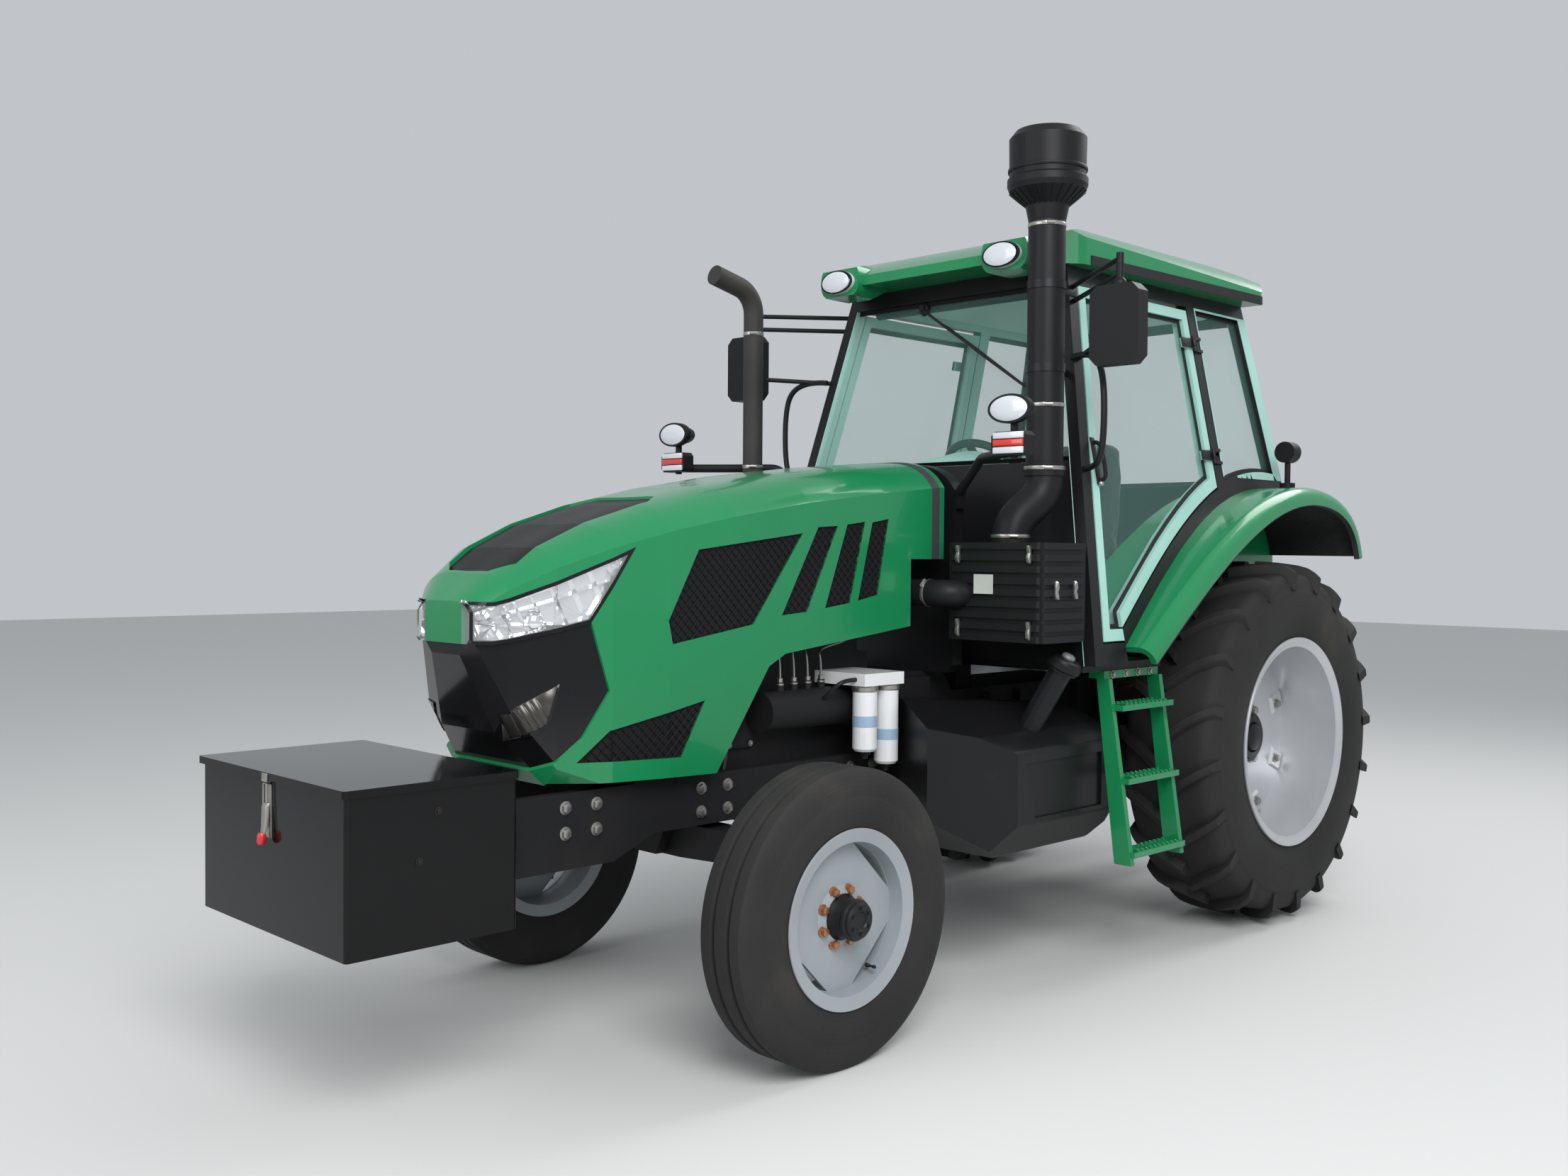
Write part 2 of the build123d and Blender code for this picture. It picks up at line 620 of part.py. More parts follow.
# Lower links, lift arms and lift rods: on each side they form a parallelogram
EYE_BORE = 14.5
LINK_LENGTH = LINK_REACH + LINK_PIVOT_X - 45
PIN_IN = LINK_Y - LINK_THICK / 2 - 40
ARM_Y = LINK_Y - 5
ROD_Y = PIN_IN + 18
ROD_X = LINK_PIVOT_X - LIFT_ARM
link_bores = [(0, LINK_PIN_R + GAP), (LINK_LENGTH, EYE_BORE)]
link = bar_with_eyes(LINK_LENGTH, 60, LINK_Y, (LINK_PIVOT_X, LINK_PIVOT_Z), link_bores)
low_pin = rod((ROD_X, PIN_IN, LINK_PIVOT_Z), (ROD_X, LINK_Y, LINK_PIVOT_Z), LINK_PIN_R)
save(both_sides(joined(link, low_pin)), "lower_links")
lift_arm = bar_with_eyes(LIFT_ARM, 70, ARM_Y, (LINK_PIVOT_X, LIFT_PIVOT_Z), [(0, SHAFT_R + GAP)])
high_pin = rod((ROD_X, PIN_IN, LIFT_PIVOT_Z), (ROD_X, ARM_Y, LIFT_PIVOT_Z), LINK_PIN_R)
save(both_sides(joined(lift_arm, high_pin)), "lift_arms")
with BuildPart() as lift_rod:
    with BuildSketch(Plane.XZ.offset(-(ROD_Y + 14))):
        with Locations((ahead(ROD_X), LINK_PIVOT_Z), (ahead(ROD_X), LIFT_PIVOT_Z)):
            Circle(32)
        with Locations((ahead(ROD_X), (LINK_PIVOT_Z + LIFT_PIVOT_Z) / 2)):
            Rectangle(30, LIFT_PIVOT_Z - LINK_PIVOT_Z)
        with Locations((ahead(ROD_X), LINK_PIVOT_Z), (ahead(ROD_X), LIFT_PIVOT_Z)):
            Circle(LINK_PIN_R + GAP, mode=Mode.SUBTRACT)
    extrude(amount=28)
save(both_sides(lift_rod.part), "lift_rods")

# Drawbar with its hanger
DRAWBAR_Z = 447.5
with BuildPart() as drawbar:
    add(block((-780, -45, DRAWBAR_Z - 17.5), (250, 45, DRAWBAR_Z + 17.5)))
    add(block((-260, -120, DRAWBAR_Z - 17.5), (-180, 120, 560)))
    with Locations((ahead(-735), 0, DRAWBAR_Z)):
        Cylinder(16, 40, mode=Mode.SUBTRACT)
save(drawbar.part, "drawbar")

# Rear fenders: a rolled skin over each rear wheel with an outer lip and an inner wall beside the cab
FENDER_OUT = REAR_OUT - 5
FENDER_IN = REAR_IN - 55
FENDER_SKIN = 25
FENDER_LIP = 80
FENDER_ROLL = 60  # radius of the rolled outer edge
FENDER_FOOT = (1226, 1266)
FENDER_TIP = (-680, 1630)
FENDER_CROWN = [(975, 1452), (575, 1711), (168, 1885), (-250, 1925), (-560, 1820)]


def under_fender(lift, low_y, high_y, low_z):
    """The space below the fender's top line, raised by lift, between two sides."""
    line = [FENDER_FOOT, *FENDER_CROWN, FENDER_TIP]
    with BuildPart() as space:
        with BuildSketch(Plane.XZ.offset(-high_y)):
            with BuildLine():
                crown = Spline(*[(ahead(x), z + lift) for x, z in line])
                Polyline(crown @ 1, ((crown @ 1).X, low_z), ((crown @ 0).X, low_z), crown @ 0)
            make_face()
        extrude(amount=high_y - low_y)
    return space.part


with BuildPart() as fender_skin:
    with BuildLine(Plane.XZ) as crown_path:
        Spline(*[(ahead(x), z) for x, z in [FENDER_FOOT, *FENDER_CROWN, FENDER_TIP]])
    crown = crown_path.line
    with BuildSketch(Plane(origin=crown @ 0, x_dir=(0, 1, 0), z_dir=crown % 0)):
        with BuildLine():
            roll_in = FENDER_OUT - FENDER_ROLL
            Polyline(
                (roll_in, FENDER_SKIN), (FENDER_IN, FENDER_SKIN), (FENDER_IN, 0), (roll_in, 0)
            )
            JernArc((roll_in, 0), (1, 0), FENDER_ROLL, 90)
            Polyline(
                (FENDER_OUT, FENDER_ROLL), (FENDER_OUT, FENDER_LIP), (FENDER_OUT - FENDER_SKIN, FENDER_LIP),
                (FENDER_OUT - FENDER_SKIN, FENDER_ROLL),
            )
            JernArc((FENDER_OUT - FENDER_SKIN, FENDER_ROLL), (0, -1), FENDER_ROLL - FENDER_SKIN, -90)
        make_face()
    sweep(path=crown_path.wire())
inner_wall = under_fender(0, FENDER_IN, FENDER_IN + FENDER_SKIN, FLOOR_Z)
save(both_sides(joined(fender_skin.part, inner_wall)), "fenders")

# Cab frame: leaning sides with the door and quarter window openings, headers and door hinge pins
RAIL_RISE = 75  # the cab's side rail above the fender
DOOR_BOTTOM = 1290
DOOR_FRAME = 45
DOOR_RISE = WALL * SIDE_LEAN  # how far a leaning door rises as it swings out of its frame
HEADER = CAB_TOP - 70
HEADER_HALF = 560
CAB_WAIST = 1935
HINGE_HEIGHTS = (2060, 2560)
HINGE_PIN_R = 6


def side_y(height):
    """Half width of the cab's side plane at a height."""
    return SIDE_Y - (height - SIDE_Z) * SIDE_LEAN


def side_panel(outline, inset, thickness):
    """A piece of the cab's leaning left side: a side-view outline, set in from the side plane."""
    low, high = 900, 3200
    band = [
        (side_y(low) - inset, low),
        (side_y(high) - inset, high),
        (side_y(high) - inset - thickness, high),
        (side_y(low) - inset - thickness, low),
    ]
    return common(side_prism(outline, 0, 1500), cross_prism(band, -1500, 2500))


def front_line(height):
    """The windscreen plane's station at a height."""
    return SCREEN_LOW_X - SCREEN_SLOPE * (height - SCREEN_LOW_Z)


def rear_line(height):
    """The cab's rear plane's station at a height."""
    return CAB_REAR_LOW + (CAB_REAR_HIGH - CAB_REAR_LOW) * (height - CAB_WAIST) / (CAB_TOP - CAB_WAIST)


def door_outline(margin):
    """The door in side view, drawn in by a margin; the fender line cuts its lower rear."""
    low, high = DOOR_BOTTOM + margin, HEADER - DOOR_RISE - margin
    return [
        (HINGE_X + margin, low),
        (HINGE_X + margin, high),
        (front_line(high) - PILLAR - margin, high),
        (front_line(low) - PILLAR - margin, low),
    ]


def quarter_outline(margin):
    """The quarter window in side view, drawn in by a margin."""
    high = HEADER - margin
    low = 1700
    return [
        (HINGE_X - RUN - PILLAR - margin, low),
        (HINGE_X - RUN - PILLAR - margin, high),
        (rear_line(high) + PILLAR + margin, high),
        (rear_line(low) + PILLAR + margin, low),
    ]


def cut_by_fender(panel, margin):
    """A side panel trimmed to stay a margin above the cab's side rail."""
    return without(panel, under_fender(RAIL_RISE + 1.25 * margin, 300, 1300, 1000))


def on_hinge_line(height, shift):
    """A plane across the left door's hinge line, shifted along it; its Y points out of the cab."""
    lean = Vector(0, -SIDE_LEAN, 1).normalized()
    middle = Vector(ahead(HINGE_X), side_y(height) + HINGE_OUT, height)
    return Plane(origin=middle + lean * shift, x_dir=(1, 0, 0), z_dir=lean)


def hinge_piece(height, low, high, radius, arm):
    """A round hinge piece on the left door's hinge line, with an arm of (length, low, high) or none."""
    with BuildPart() as piece:
        with BuildSketch(on_hinge_line(height, low)):
            Circle(radius)
            if arm:
                with Locations((arm[0] / 2, (arm[1] + arm[2]) / 2)):
                    Rectangle(abs(arm[0]), arm[2] - arm[1])
        extrude(amount=high - low)
    return piece.part


door_hole = cut_by_fender(side_panel(door_outline(-RUN), -20, WALL + 40), -RUN)
door_head = side_panel(
    [
        (HINGE_X - RUN, HEADER - 100),
        (HINGE_X - RUN, HEADER + RUN),
        (front_line(HEADER) - PILLAR + RUN, HEADER + RUN),
        (front_line(HEADER - 100) - PILLAR + RUN, HEADER - 100),
    ],
    -20,
    WALL + 40,
)
quarter_hole = cut_by_fender(side_panel(quarter_outline(0), -20, WALL + 40), 0)
cab_side = side_panel(
    [
        (front_line(FLOOR_Z), FLOOR_Z),
        (front_line(CAB_TOP), CAB_TOP),
        (CAB_REAR_HIGH, CAB_TOP),
        (rear_line(1700), 1700),
        (300, 1400),
        (FENDER_FOOT[0], FLOOR_Z),
    ],
    0,
    WALL,
)
below_rail = under_fender(GAP, 300, 1300, 1000)
pillar_arm = (-70, -HINGE_OUT - 4, -3)
hinge_pins = [hinge_piece(h, -35, 35, HINGE_PIN_R, None) for h in HINGE_HEIGHTS]
pin_brackets = [hinge_piece(h, -35, -22, 9, pillar_arm) for h in HINGE_HEIGHTS]
pin_brackets += [hinge_piece(h, 22, 35, 9, pillar_arm) for h in HINGE_HEIGHTS]
left_side = joined(
    without(cab_side, door_hole, door_head, quarter_hole, below_rail), *hinge_pins, *pin_brackets
)
front_header = side_prism(
    [
        (front_line(HEADER), HEADER), (front_line(CAB_TOP), CAB_TOP),
        (front_line(CAB_TOP) - WALL, CAB_TOP), (front_line(HEADER) - WALL, HEADER),
    ],
    -HEADER_HALF,
    HEADER_HALF,
)
rear_header = side_prism(
    [
        (rear_line(HEADER), HEADER), (rear_line(CAB_TOP), CAB_TOP),
        (rear_line(CAB_TOP) + WALL, CAB_TOP), (rear_line(HEADER) + WALL, HEADER),
    ],
    -HEADER_HALF,
    HEADER_HALF,
)
save(joined(both_sides(left_side), front_header, rear_header), "cab_frame")

# Doors: a leaning frame with its pane, hung at the rear edge on two barrels
door_panel = cut_by_fender(side_panel(door_outline(0), 0, WALL), 0)
door_pane_hole = cut_by_fender(side_panel(door_outline(DOOR_FRAME), -20, WALL + 40), DOOR_FRAME)
door_pane = cut_by_fender(side_panel(door_outline(DOOR_FRAME + GAP), 18, GLASS), DOOR_FRAME + GAP)
door_arm = (90, -HINGE_OUT - 4, -6)
barrels = [hinge_piece(h, -20, 20, 10, door_arm) for h in HINGE_HEIGHTS]
bores = [hinge_piece(h, -40, 40, HINGE_PIN_R + GAP, None) for h in HINGE_HEIGHTS]
door_left = without(joined(without(door_panel, door_pane_hole), *barrels), *bores)
save(door_left, "door_left")
save(door_pane, "door_glass_left")
save(mirrored(door_left), "door_right")
save(mirrored(door_pane), "door_glass_right")

# Cab glass: windscreen, rear window and quarter panes
SCREEN_BOTTOM = 1990
REAR_SILL = 1960


def across(low, high):
    """The space between the cab sides, from one height to another, as a front-view outline."""
    inner_low, inner_high = side_y(low) - WALL - GAP, side_y(high) - WALL - GAP
    return [(-inner_low, low), (inner_low, low), (inner_high, high), (-inner_high, high)]


def crosswise(line, inset, thick, low, high):
    """A cross panel of the cab that follows the front or rear plane."""
    lean = side_prism(
        [
            (line(low) - inset, low), (line(high) - inset, high),
            (line(high) - inset - thick, high), (line(low) - inset - thick, low),
        ],
        -1000,
        1000,
    )
    return common(lean, cross_prism(across(low, high), CAB_REAR_LOW - 300, SCREEN_LOW_X + 300))


windscreen = crosswise(front_line, 20, GLASS, SCREEN_BOTTOM + GAP, HEADER - GAP)
rear_window = crosswise(rear_line, -20 - GLASS, GLASS, REAR_SILL + GAP, HEADER - GAP)
quarter_pane = cut_by_fender(side_panel(quarter_outline(GAP), 18, GLASS), GAP)
save(joined(windscreen, rear_window, both_sides(quarter_pane)), "cab_glass")

# Cab floor, firewall, seat platform and rear wall, on four posts from the transmission
WELL_Y = FENDER_IN - GAP
PLATFORM_Z = FLOOR_Z + 230
FLOOR_LOW = FLOOR_Z - 30
firewall = crosswise(front_line, 10, 30, FLOOR_Z, SCREEN_BOTTOM)
floor_front = block((860, -840, FLOOR_LOW), (1425, 840, FLOOR_Z))
floor_rear = block((-100, -WELL_Y, FLOOR_LOW), (980, WELL_Y, FLOOR_Z))
platform = side_prism(
    [(520, FLOOR_Z), (500, PLATFORM_Z), (-100, PLATFORM_Z), (-100, FLOOR_Z)], -WELL_Y, WELL_Y
)
front_post = block((1240, 80, 1060), (1340, 160, FLOOR_LOW))
rear_post = block((50, 80, 1010), (150, 160, FLOOR_LOW))
rear_wall = side_prism(
    [
        (-100, PLATFORM_Z), (-70, PLATFORM_Z), (rear_line(REAR_SILL) + 40, REAR_SILL),
        (rear_line(REAR_SILL) + 5, REAR_SILL), (rear_line(REAR_SILL - 60) + 5, REAR_SILL - 60),
    ],
    -WELL_Y,
    WELL_Y,
)
save(
    joined(
        firewall, floor_front, floor_rear, platform, rear_wall, both_sides(front_post), both_sides(rear_post)
    ),
    "cab_floor",
)

# Roof: a crowned cap with a thin rear eave, and a lamp pod at each front corner
ROOF_HALF = 690
ROOF_FRONT = 1400
ROOF_REAR = -400
ROOF_SEAT = CAB_TOP + GAP
with BuildPart() as roof_side:
    with BuildSketch(Plane.XZ.offset(-ROOF_HALF)):
        with BuildLine():
            ridge = [(ROOF_FRONT, 2832), (1190, 2925), (700, 2985), (150, 2975), (ROOF_REAR, 2895)]
            crest = Spline(*[(ahead(x), z) for x, z in ridge])
            Polyline(
                crest @ 1,
                (ahead(ROOF_REAR), 2868),
                (ahead(CAB_REAR_HIGH), ROOF_SEAT),
                (ahead(ROOF_FRONT), ROOF_SEAT),
                crest @ 0,
            )
        make_face()
    extrude(amount=2 * ROOF_HALF)
with BuildPart() as roof_plan:
    with BuildSketch(Plane.XY.offset(CAB_TOP - 100)):
        with BuildLine():
            Polyline(
                *[
                    (ahead(x), y)
                    for x, y in [
                        (ROOF_FRONT, -430), (1150, -640), (ROOF_REAR + 160, -ROOF_HALF), (ROOF_REAR, -600),
                        (ROOF_REAR, 600), (ROOF_REAR + 160, ROOF_HALF), (1150, 640), (ROOF_FRONT, 430),
                    ]
                ],
                close=True,
            )
        make_face()
    extrude(amount=400)
    fillet(roof_plan.edges().filter_by(Axis.Z), 70)
with BuildPart() as roof_crown:
    with BuildSketch(Plane.YZ.offset(ahead(ROOF_REAR))):
        with BuildLine():
            arch = Spline((ROOF_HALF, 2850), (ROOF_HALF - 70, 2915), (0, 3000), (70 - ROOF_HALF, 2915),
                          (-ROOF_HALF, 2850))
            Polyline(arch @ 1, (-ROOF_HALF, CAB_TOP - 100), (ROOF_HALF, CAB_TOP - 100), arch @ 0)
        make_face()
    extrude(amount=ROOF_FRONT - ROOF_REAR)
roof_cap = common(roof_side.part, roof_plan.part, roof_crown.part)
POD_FRONT = ROOF_FRONT + 25
POD_Y = 448
POD_Z = 2818
with BuildPart() as pod_bar:
    with BuildSketch(Plane.YZ.offset(ahead(1120))):
        with Locations((POD_Y, POD_Z)):
            RectangleRounded(225, 150, 60)
    extrude(amount=400)
pod_side = side_prism(
    [
        (1120, ROOF_SEAT), (1120, 2890), (1330, 2893), (POD_FRONT, 2868), (POD_FRONT, 2750),
        (1300, 2743), (1235, ROOF_SEAT),
    ],
    0,
    1000,
)
roof_pod = common(pod_bar.part, pod_side)
save(joined(roof_cap, both_sides(roof_pod)), "cab_roof")

# Seat, and the dashboard with its domed cowl and the steering wheel
cushion = block((250, -240, 1500), (740, 240, 1620))
backrest = side_prism([(180, 1560), (300, 1560), (220, 2180), (120, 2180)], -230, 230)
seat_post = block((270, -150, PLATFORM_Z + GAP), (510, 150, 1500))
save(joined(cushion, backrest, seat_post), "seat")
WHEEL_HUB = (930, 0, 1960)
console = side_prism([(1040, FLOOR_Z), (1060, 1850), (1150, 1900), (1290, 1900), (1370, FLOOR_Z)], -180, 180)
with BuildPart() as cowl_body:
    for station, half, rise in ((1080, 290, 190), (1260, 250, 150)):
        with BuildSketch(Plane.YZ.offset(ahead(station))):
            with Locations((0, 1880)):
                Ellipse(half, rise)
    loft()
cowl = without(cowl_body.part, block((1000, -400, 1600), (1300, 400, 1880)))
column = rod((1110, 0, 1800), WHEEL_HUB, 30)
wheel_plane = Plane(origin=(ahead(WHEEL_HUB[0]), 0, WHEEL_HUB[2]), z_dir=(-170, 0, 160))
with BuildPart() as wheel_rim:
    with BuildSketch(Plane(origin=wheel_plane.origin, x_dir=(0, 1, 0), z_dir=wheel_plane.x_dir)):
        with Locations((200, 0)):
            RegularPolygon(17, 6)
    revolve(axis=Axis(wheel_plane.origin, wheel_plane.z_dir))
wheel_spoke = rod((WHEEL_HUB[0], -200, WHEEL_HUB[2]), (WHEEL_HUB[0], 200, WHEEL_HUB[2]), 12)
save(joined(console, cowl, column, wheel_rim.part, wheel_spoke), "dashboard")

# Bonnet: a lofted shell, split into the green skin, the black grille mask, the headlamps and the vents
HOOD_STATIONS = [
    (0.0, HOOD_HALF - 8, 830, 1880, 1985, 30),
    (0.18, HOOD_HALF - 2, 830, 1845, 1955, 30),
    (0.38, HOOD_HALF, 830, 1798, 1908, 30),
    (0.555, HOOD_HALF, 830, 1742, 1850, 30),
    (0.695, HOOD_HALF - 2, 830, 1688, 1785, 30),
    (0.805, HOOD_HALF - 22, 840, 1632, 1718, 40),
    (0.895, HOOD_HALF - 70, 890, 1570, 1640, 60),
    (0.96, HOOD_HALF - 140, 1050, 1500, 1550, 80),
    (1.0, HOOD_HALF - 230, 1290, 1430, 1465, 60),
]
NOSE_FROM = 0.85  # ahead of this the bonnet is closed below, by the grille mask


def hood_section(station, half, low, shoulder, top, corner, inset):
    """One cross-section of the bonnet, drawn in by an inset."""
    w, zs, zt = half - inset, shoulder - inset, top - inset
    crown = zs + 0.62 * (zt - zs)
    with BuildSketch(Plane.YZ.offset(ahead(station))) as section:
        with BuildLine():
            Polyline(
                (-w, zs), (-w, low + corner), (-w + corner, low),
                (w - corner, low), (w, low + corner), (w, zs),
            )
            Spline((w, zs), (0.82 * w, crown), (0, zt), (-0.82 * w, crown), (-w, zs))
        make_face()
    return section.sketch


def hood_body(inset, opened):
    """The bonnet's lofted body drawn in by an inset; opened runs it out at the rear and below."""
    sections = []
    for share, half, low, shoulder, top, corner in HOOD_STATIONS:
        in_nose = share > NOSE_FROM
        station = fore(share) - (inset if in_nose else 0)
        floor = low + inset
        if opened:
            station -= 2 * inset if share == 0 else 0
            floor = floor if in_nose else low - 2 * inset
        sections.append(hood_section(station, half, floor, shoulder, top, corner, inset))
    with BuildPart() as body:
        loft(sections, ruled=True)
    return body.part


def bonnet_zone(points, low_y, high_y):
    """A side-view zone of the bonnet, (share of its length, height), carried across."""
    return side_prism([(fore(share), z) for share, z in points], low_y, high_y)


hood_inner = hood_body(HOOD_WALL, True)
arch_cut = bonnet_zone(
    [
        (-0.05, 700), (-0.05, 1600), (0.1, 1600), (0.1, 1345), (0.435, 1270),
        (0.475, 1230), (0.595, 885), (0.895, 900), (0.935, 700),
    ],
    -600,
    600,
)
hood_skin = without(hood_body(0, False), hood_inner, arch_cut)
black_skin = without(hood_body(SET_BACK, False), hood_inner, arch_cut)
mask_zone = bonnet_zone(
    [
        (1.05, 1335), (0.975, 1335), (0.84, 1400), (0.81, 1185), (0.855, 1040), (0.915, 940), (1.05, 940),
    ],
    -600, 600,
)
lamp_zone = both_sides(
    bonnet_zone(
        [(1.05, 1330), (0.975, 1335), (0.841, 1400), (0.7635, 1637), (0.975, 1465), (1.05, 1465)], 105, 600
    )
)
big_vent = bonnet_zone([(0.513, 1377), (0.6915, 1323), (0.7, 1400), (0.637, 1630), (0.395, 1690)], 200, 600)
slats = [
    bonnet_zone([(0.4455, 1404), (0.356, 1713), (0.305, 1719), (0.383, 1413)], 200, 600),
    bonnet_zone([(0.337, 1424), (0.28, 1725), (0.2315, 1737), (0.271, 1440)], 200, 600),
    bonnet_zone([(0.25, 1447), (0.212, 1735), (0.166, 1750), (0.196, 1467)], 200, 600),
]
leg_vent = bonnet_zone([(0.8635, 965), (0.81, 1059), (0.6215, 1132), (0.672, 953)], 200, 600)
vent_zone = both_sides(joined(big_vent, *slats, leg_vent))
top_zone = plan_prism(
    [
        (fore(0.955), -110), (fore(0.955), 110), (fore(0.93), 190), (fore(0.68), 215), (fore(0.645), 165),
        (fore(0.645), -165), (fore(0.68), -215), (fore(0.93), -190),
    ],
    1500,
    2000,
)
save(without(common(black_skin, mask_zone), lamp_zone), "grille_mask")
save(without(common(hood_skin, lamp_zone), mask_zone), "headlamps")
vent_panels = common(black_skin, vent_zone)
top_panel = common(black_skin, top_zone)
save(joined(vent_panels, top_panel), "hood_vents")
LIFT_AXIS_X = HOOD_REAR + 30
LIFT_AXIS_Z = 1915
LIFT_PIN_R = 8
with BuildPart() as hinge_lug:
    with BuildSketch(Plane.XZ.offset(-205)):
        with Locations((ahead(LIFT_AXIS_X), LIFT_AXIS_Z)):
            Circle(18)
        with Locations((ahead(LIFT_AXIS_X + 20), LIFT_AXIS_Z + 23)):
            Rectangle(76, 46)
        with Locations((ahead(LIFT_AXIS_X), LIFT_AXIS_Z)):
            Circle(LIFT_PIN_R + GAP, mode=Mode.SUBTRACT)
    extrude(amount=15)
green_skin = without(hood_skin, mask_zone, lamp_zone, vent_zone, top_zone)
save(joined(green_skin, both_sides(hinge_lug.part)), "hood")

# Bulkhead behind the bonnet, standing on the bell housing, with the bonnet's hinge arms
BULKHEAD_REAR = 1560
BULKHEAD_FRONT = 1620
BULKHEAD_HALF = HOOD_HALF - 14
share, half, low, shoulder, top, corner = HOOD_STATIONS[0]
plate_section = hood_section(BULKHEAD_REAR, half, 1150, shoulder, top, corner, half - BULKHEAD_HALF)
with BuildPart() as bulkhead_plate:
    extrude(plate_section, amount=BULKHEAD_FRONT - BULKHEAD_REAR, dir=(1, 0, 0))
hinge_arm = side_prism(
    [
        (BULKHEAD_FRONT - 10, 1800), (BULKHEAD_FRONT, 1800), (LIFT_AXIS_X + 8, LIFT_AXIS_Z - 20),
        (LIFT_AXIS_X + 13, LIFT_AXIS_Z), (LIFT_AXIS_X + 6, LIFT_AXIS_Z + 11),
        (LIFT_AXIS_X - 8, LIFT_AXIS_Z + 11), (LIFT_AXIS_X - 15, LIFT_AXIS_Z - 3),
        (LIFT_AXIS_X - 20, LIFT_AXIS_Z - 19), (BULKHEAD_FRONT, 1850), (BULKHEAD_FRONT - 10, 1850),
    ],
    211,
    226,
)
lift_pin = rod((LIFT_AXIS_X, 185, LIFT_AXIS_Z), (LIFT_AXIS_X, 226, LIFT_AXIS_Z), LIFT_PIN_R)
save(joined(bulkhead_plate.part, both_sides(joined(hinge_arm, lift_pin))), "bulkhead")

# Air cleaner: a ribbed box in front of the cab on the left, with a hose into the bonnet's side
CLEANER_LOW = (1450, 430, 1295)
CLEANER_HIGH = (1745, 880, 1665)
RIB_COUNT = 9
RIB_DEPTH = 9
RIB_THICK = 25
rib_pitch = (CLEANER_HIGH[2] - CLEANER_LOW[2] - RIB_THICK) / (RIB_COUNT - 1)
cleaner_x = ahead((CLEANER_LOW[0] + CLEANER_HIGH[0]) / 2)
cleaner_y = (CLEANER_LOW[1] + CLEANER_HIGH[1]) / 2
cleaner_length = CLEANER_HIGH[0] - CLEANER_LOW[0]
cleaner_width = CLEANER_HIGH[1] - CLEANER_LOW[1]
with BuildPart() as cleaner_box:
    with BuildSketch(*[Plane.XY.offset(CLEANER_LOW[2] + k * rib_pitch) for k in range(RIB_COUNT)]):
        with Locations((cleaner_x, cleaner_y)):
            Rectangle(cleaner_length, cleaner_width)
    extrude(amount=RIB_THICK)
    chamfer(cleaner_box.edges().filter_by(Axis.Z), 28)
    with BuildSketch(Plane.XY.offset(CLEANER_LOW[2])):
        with Locations((cleaner_x, cleaner_y)):
            Rectangle(cleaner_length - 2 * RIB_DEPTH, cleaner_width - 2 * RIB_DEPTH)
    extrude(amount=CLEANER_HIGH[2] - CLEANER_LOW[2])
hose = bent_bar([(1715, 500, 1470), (1800, 490, 1470), (1800, 300, 1470)], 52, 60)
cleaner_bracket = block((BULKHEAD_REAR + 10, BULKHEAD_HALF + GAP, 1380), (BULKHEAD_FRONT - 10, 440, 1500))
save(joined(cleaner_box.part, hose, cleaner_bracket), "air_cleaner")

# Intake: an elbow from the air cleaner up into the stack, with the bowl of its precleaner on top
PIPE_R = 72
STACK_X = 1440
STACK_Y = 665
ELBOW_X = 1580
ELBOW_Y = 610
ELBOW_TOP = 1930
BOWL_R = 155
BOWL_LOW = 2965
BOWL_HIGH = 3250
with BuildPart() as elbow:
    with BuildLine() as elbow_path:
        Spline(
            (ahead(ELBOW_X), ELBOW_Y, CLEANER_HIGH[2] + GAP),
            (ahead(STACK_X), STACK_Y, ELBOW_TOP),
            tangents=((0, 0, 1), (0, 0, 1)),
        )
    with BuildSketch(Plane.XY.offset(CLEANER_HIGH[2] + GAP)):
        with Locations((ahead(ELBOW_X), ELBOW_Y)):
            Circle(PIPE_R)
    sweep(path=elbow_path.wire())
stack = turned(
    [
        (0, ELBOW_TOP - 5), (PIPE_R + 6, ELBOW_TOP - 5),
        (PIPE_R + 6, ELBOW_TOP + 45), (PIPE_R, ELBOW_TOP + 45),
        (PIPE_R, BOWL_LOW - 60), (PIPE_R + 12, BOWL_LOW),
        (BOWL_R - 8, BOWL_LOW + 55), (BOWL_R, BOWL_LOW + 75),
        (BOWL_R, BOWL_LOW + 100), (BOWL_R - 8, BOWL_LOW + 108), (BOWL_R - 6, BOWL_HIGH - 30),
        (BOWL_R - 30, BOWL_HIGH), (0, BOWL_HIGH),
    ],
    STACK_X,
    STACK_Y,
)
save(joined(elbow.part, stack), "intake")

# Exhaust: a log manifold on the engine's right, and a stack with its outlet bent forward
EXHAUST_X = 1840
EXHAUST_Y = -560
TUBE_R = 42
MANIFOLD_Z = 1420
with BuildPart() as stack_tube:
    with BuildLine(Plane.XZ.offset(-EXHAUST_Y)) as tube_path:
        FilletPolyline(
            (ahead(EXHAUST_X), MANIFOLD_Z - 60), (ahead(EXHAUST_X), 2720), (ahead(EXHAUST_X + 225), 2772),
            radius=110,
        )
    with BuildSketch(Plane.XY.offset(MANIFOLD_Z - 60)):
        with Locations((ahead(EXHAUST_X), EXHAUST_Y)):
            Circle(TUBE_R)
    sweep(path=tube_path.wire())
jacket = turned(
    [(0, 1600), (TUBE_R, 1600), (60, 1640), (60, 1900), (TUBE_R, 1940), (0, 1940)], EXHAUST_X, EXHAUST_Y
)
manifold_bar = rod((fore(0.12), -ENGINE_Y - 55, MANIFOLD_Z), (fore(0.54), -ENGINE_Y - 55, MANIFOLD_Z), 36)
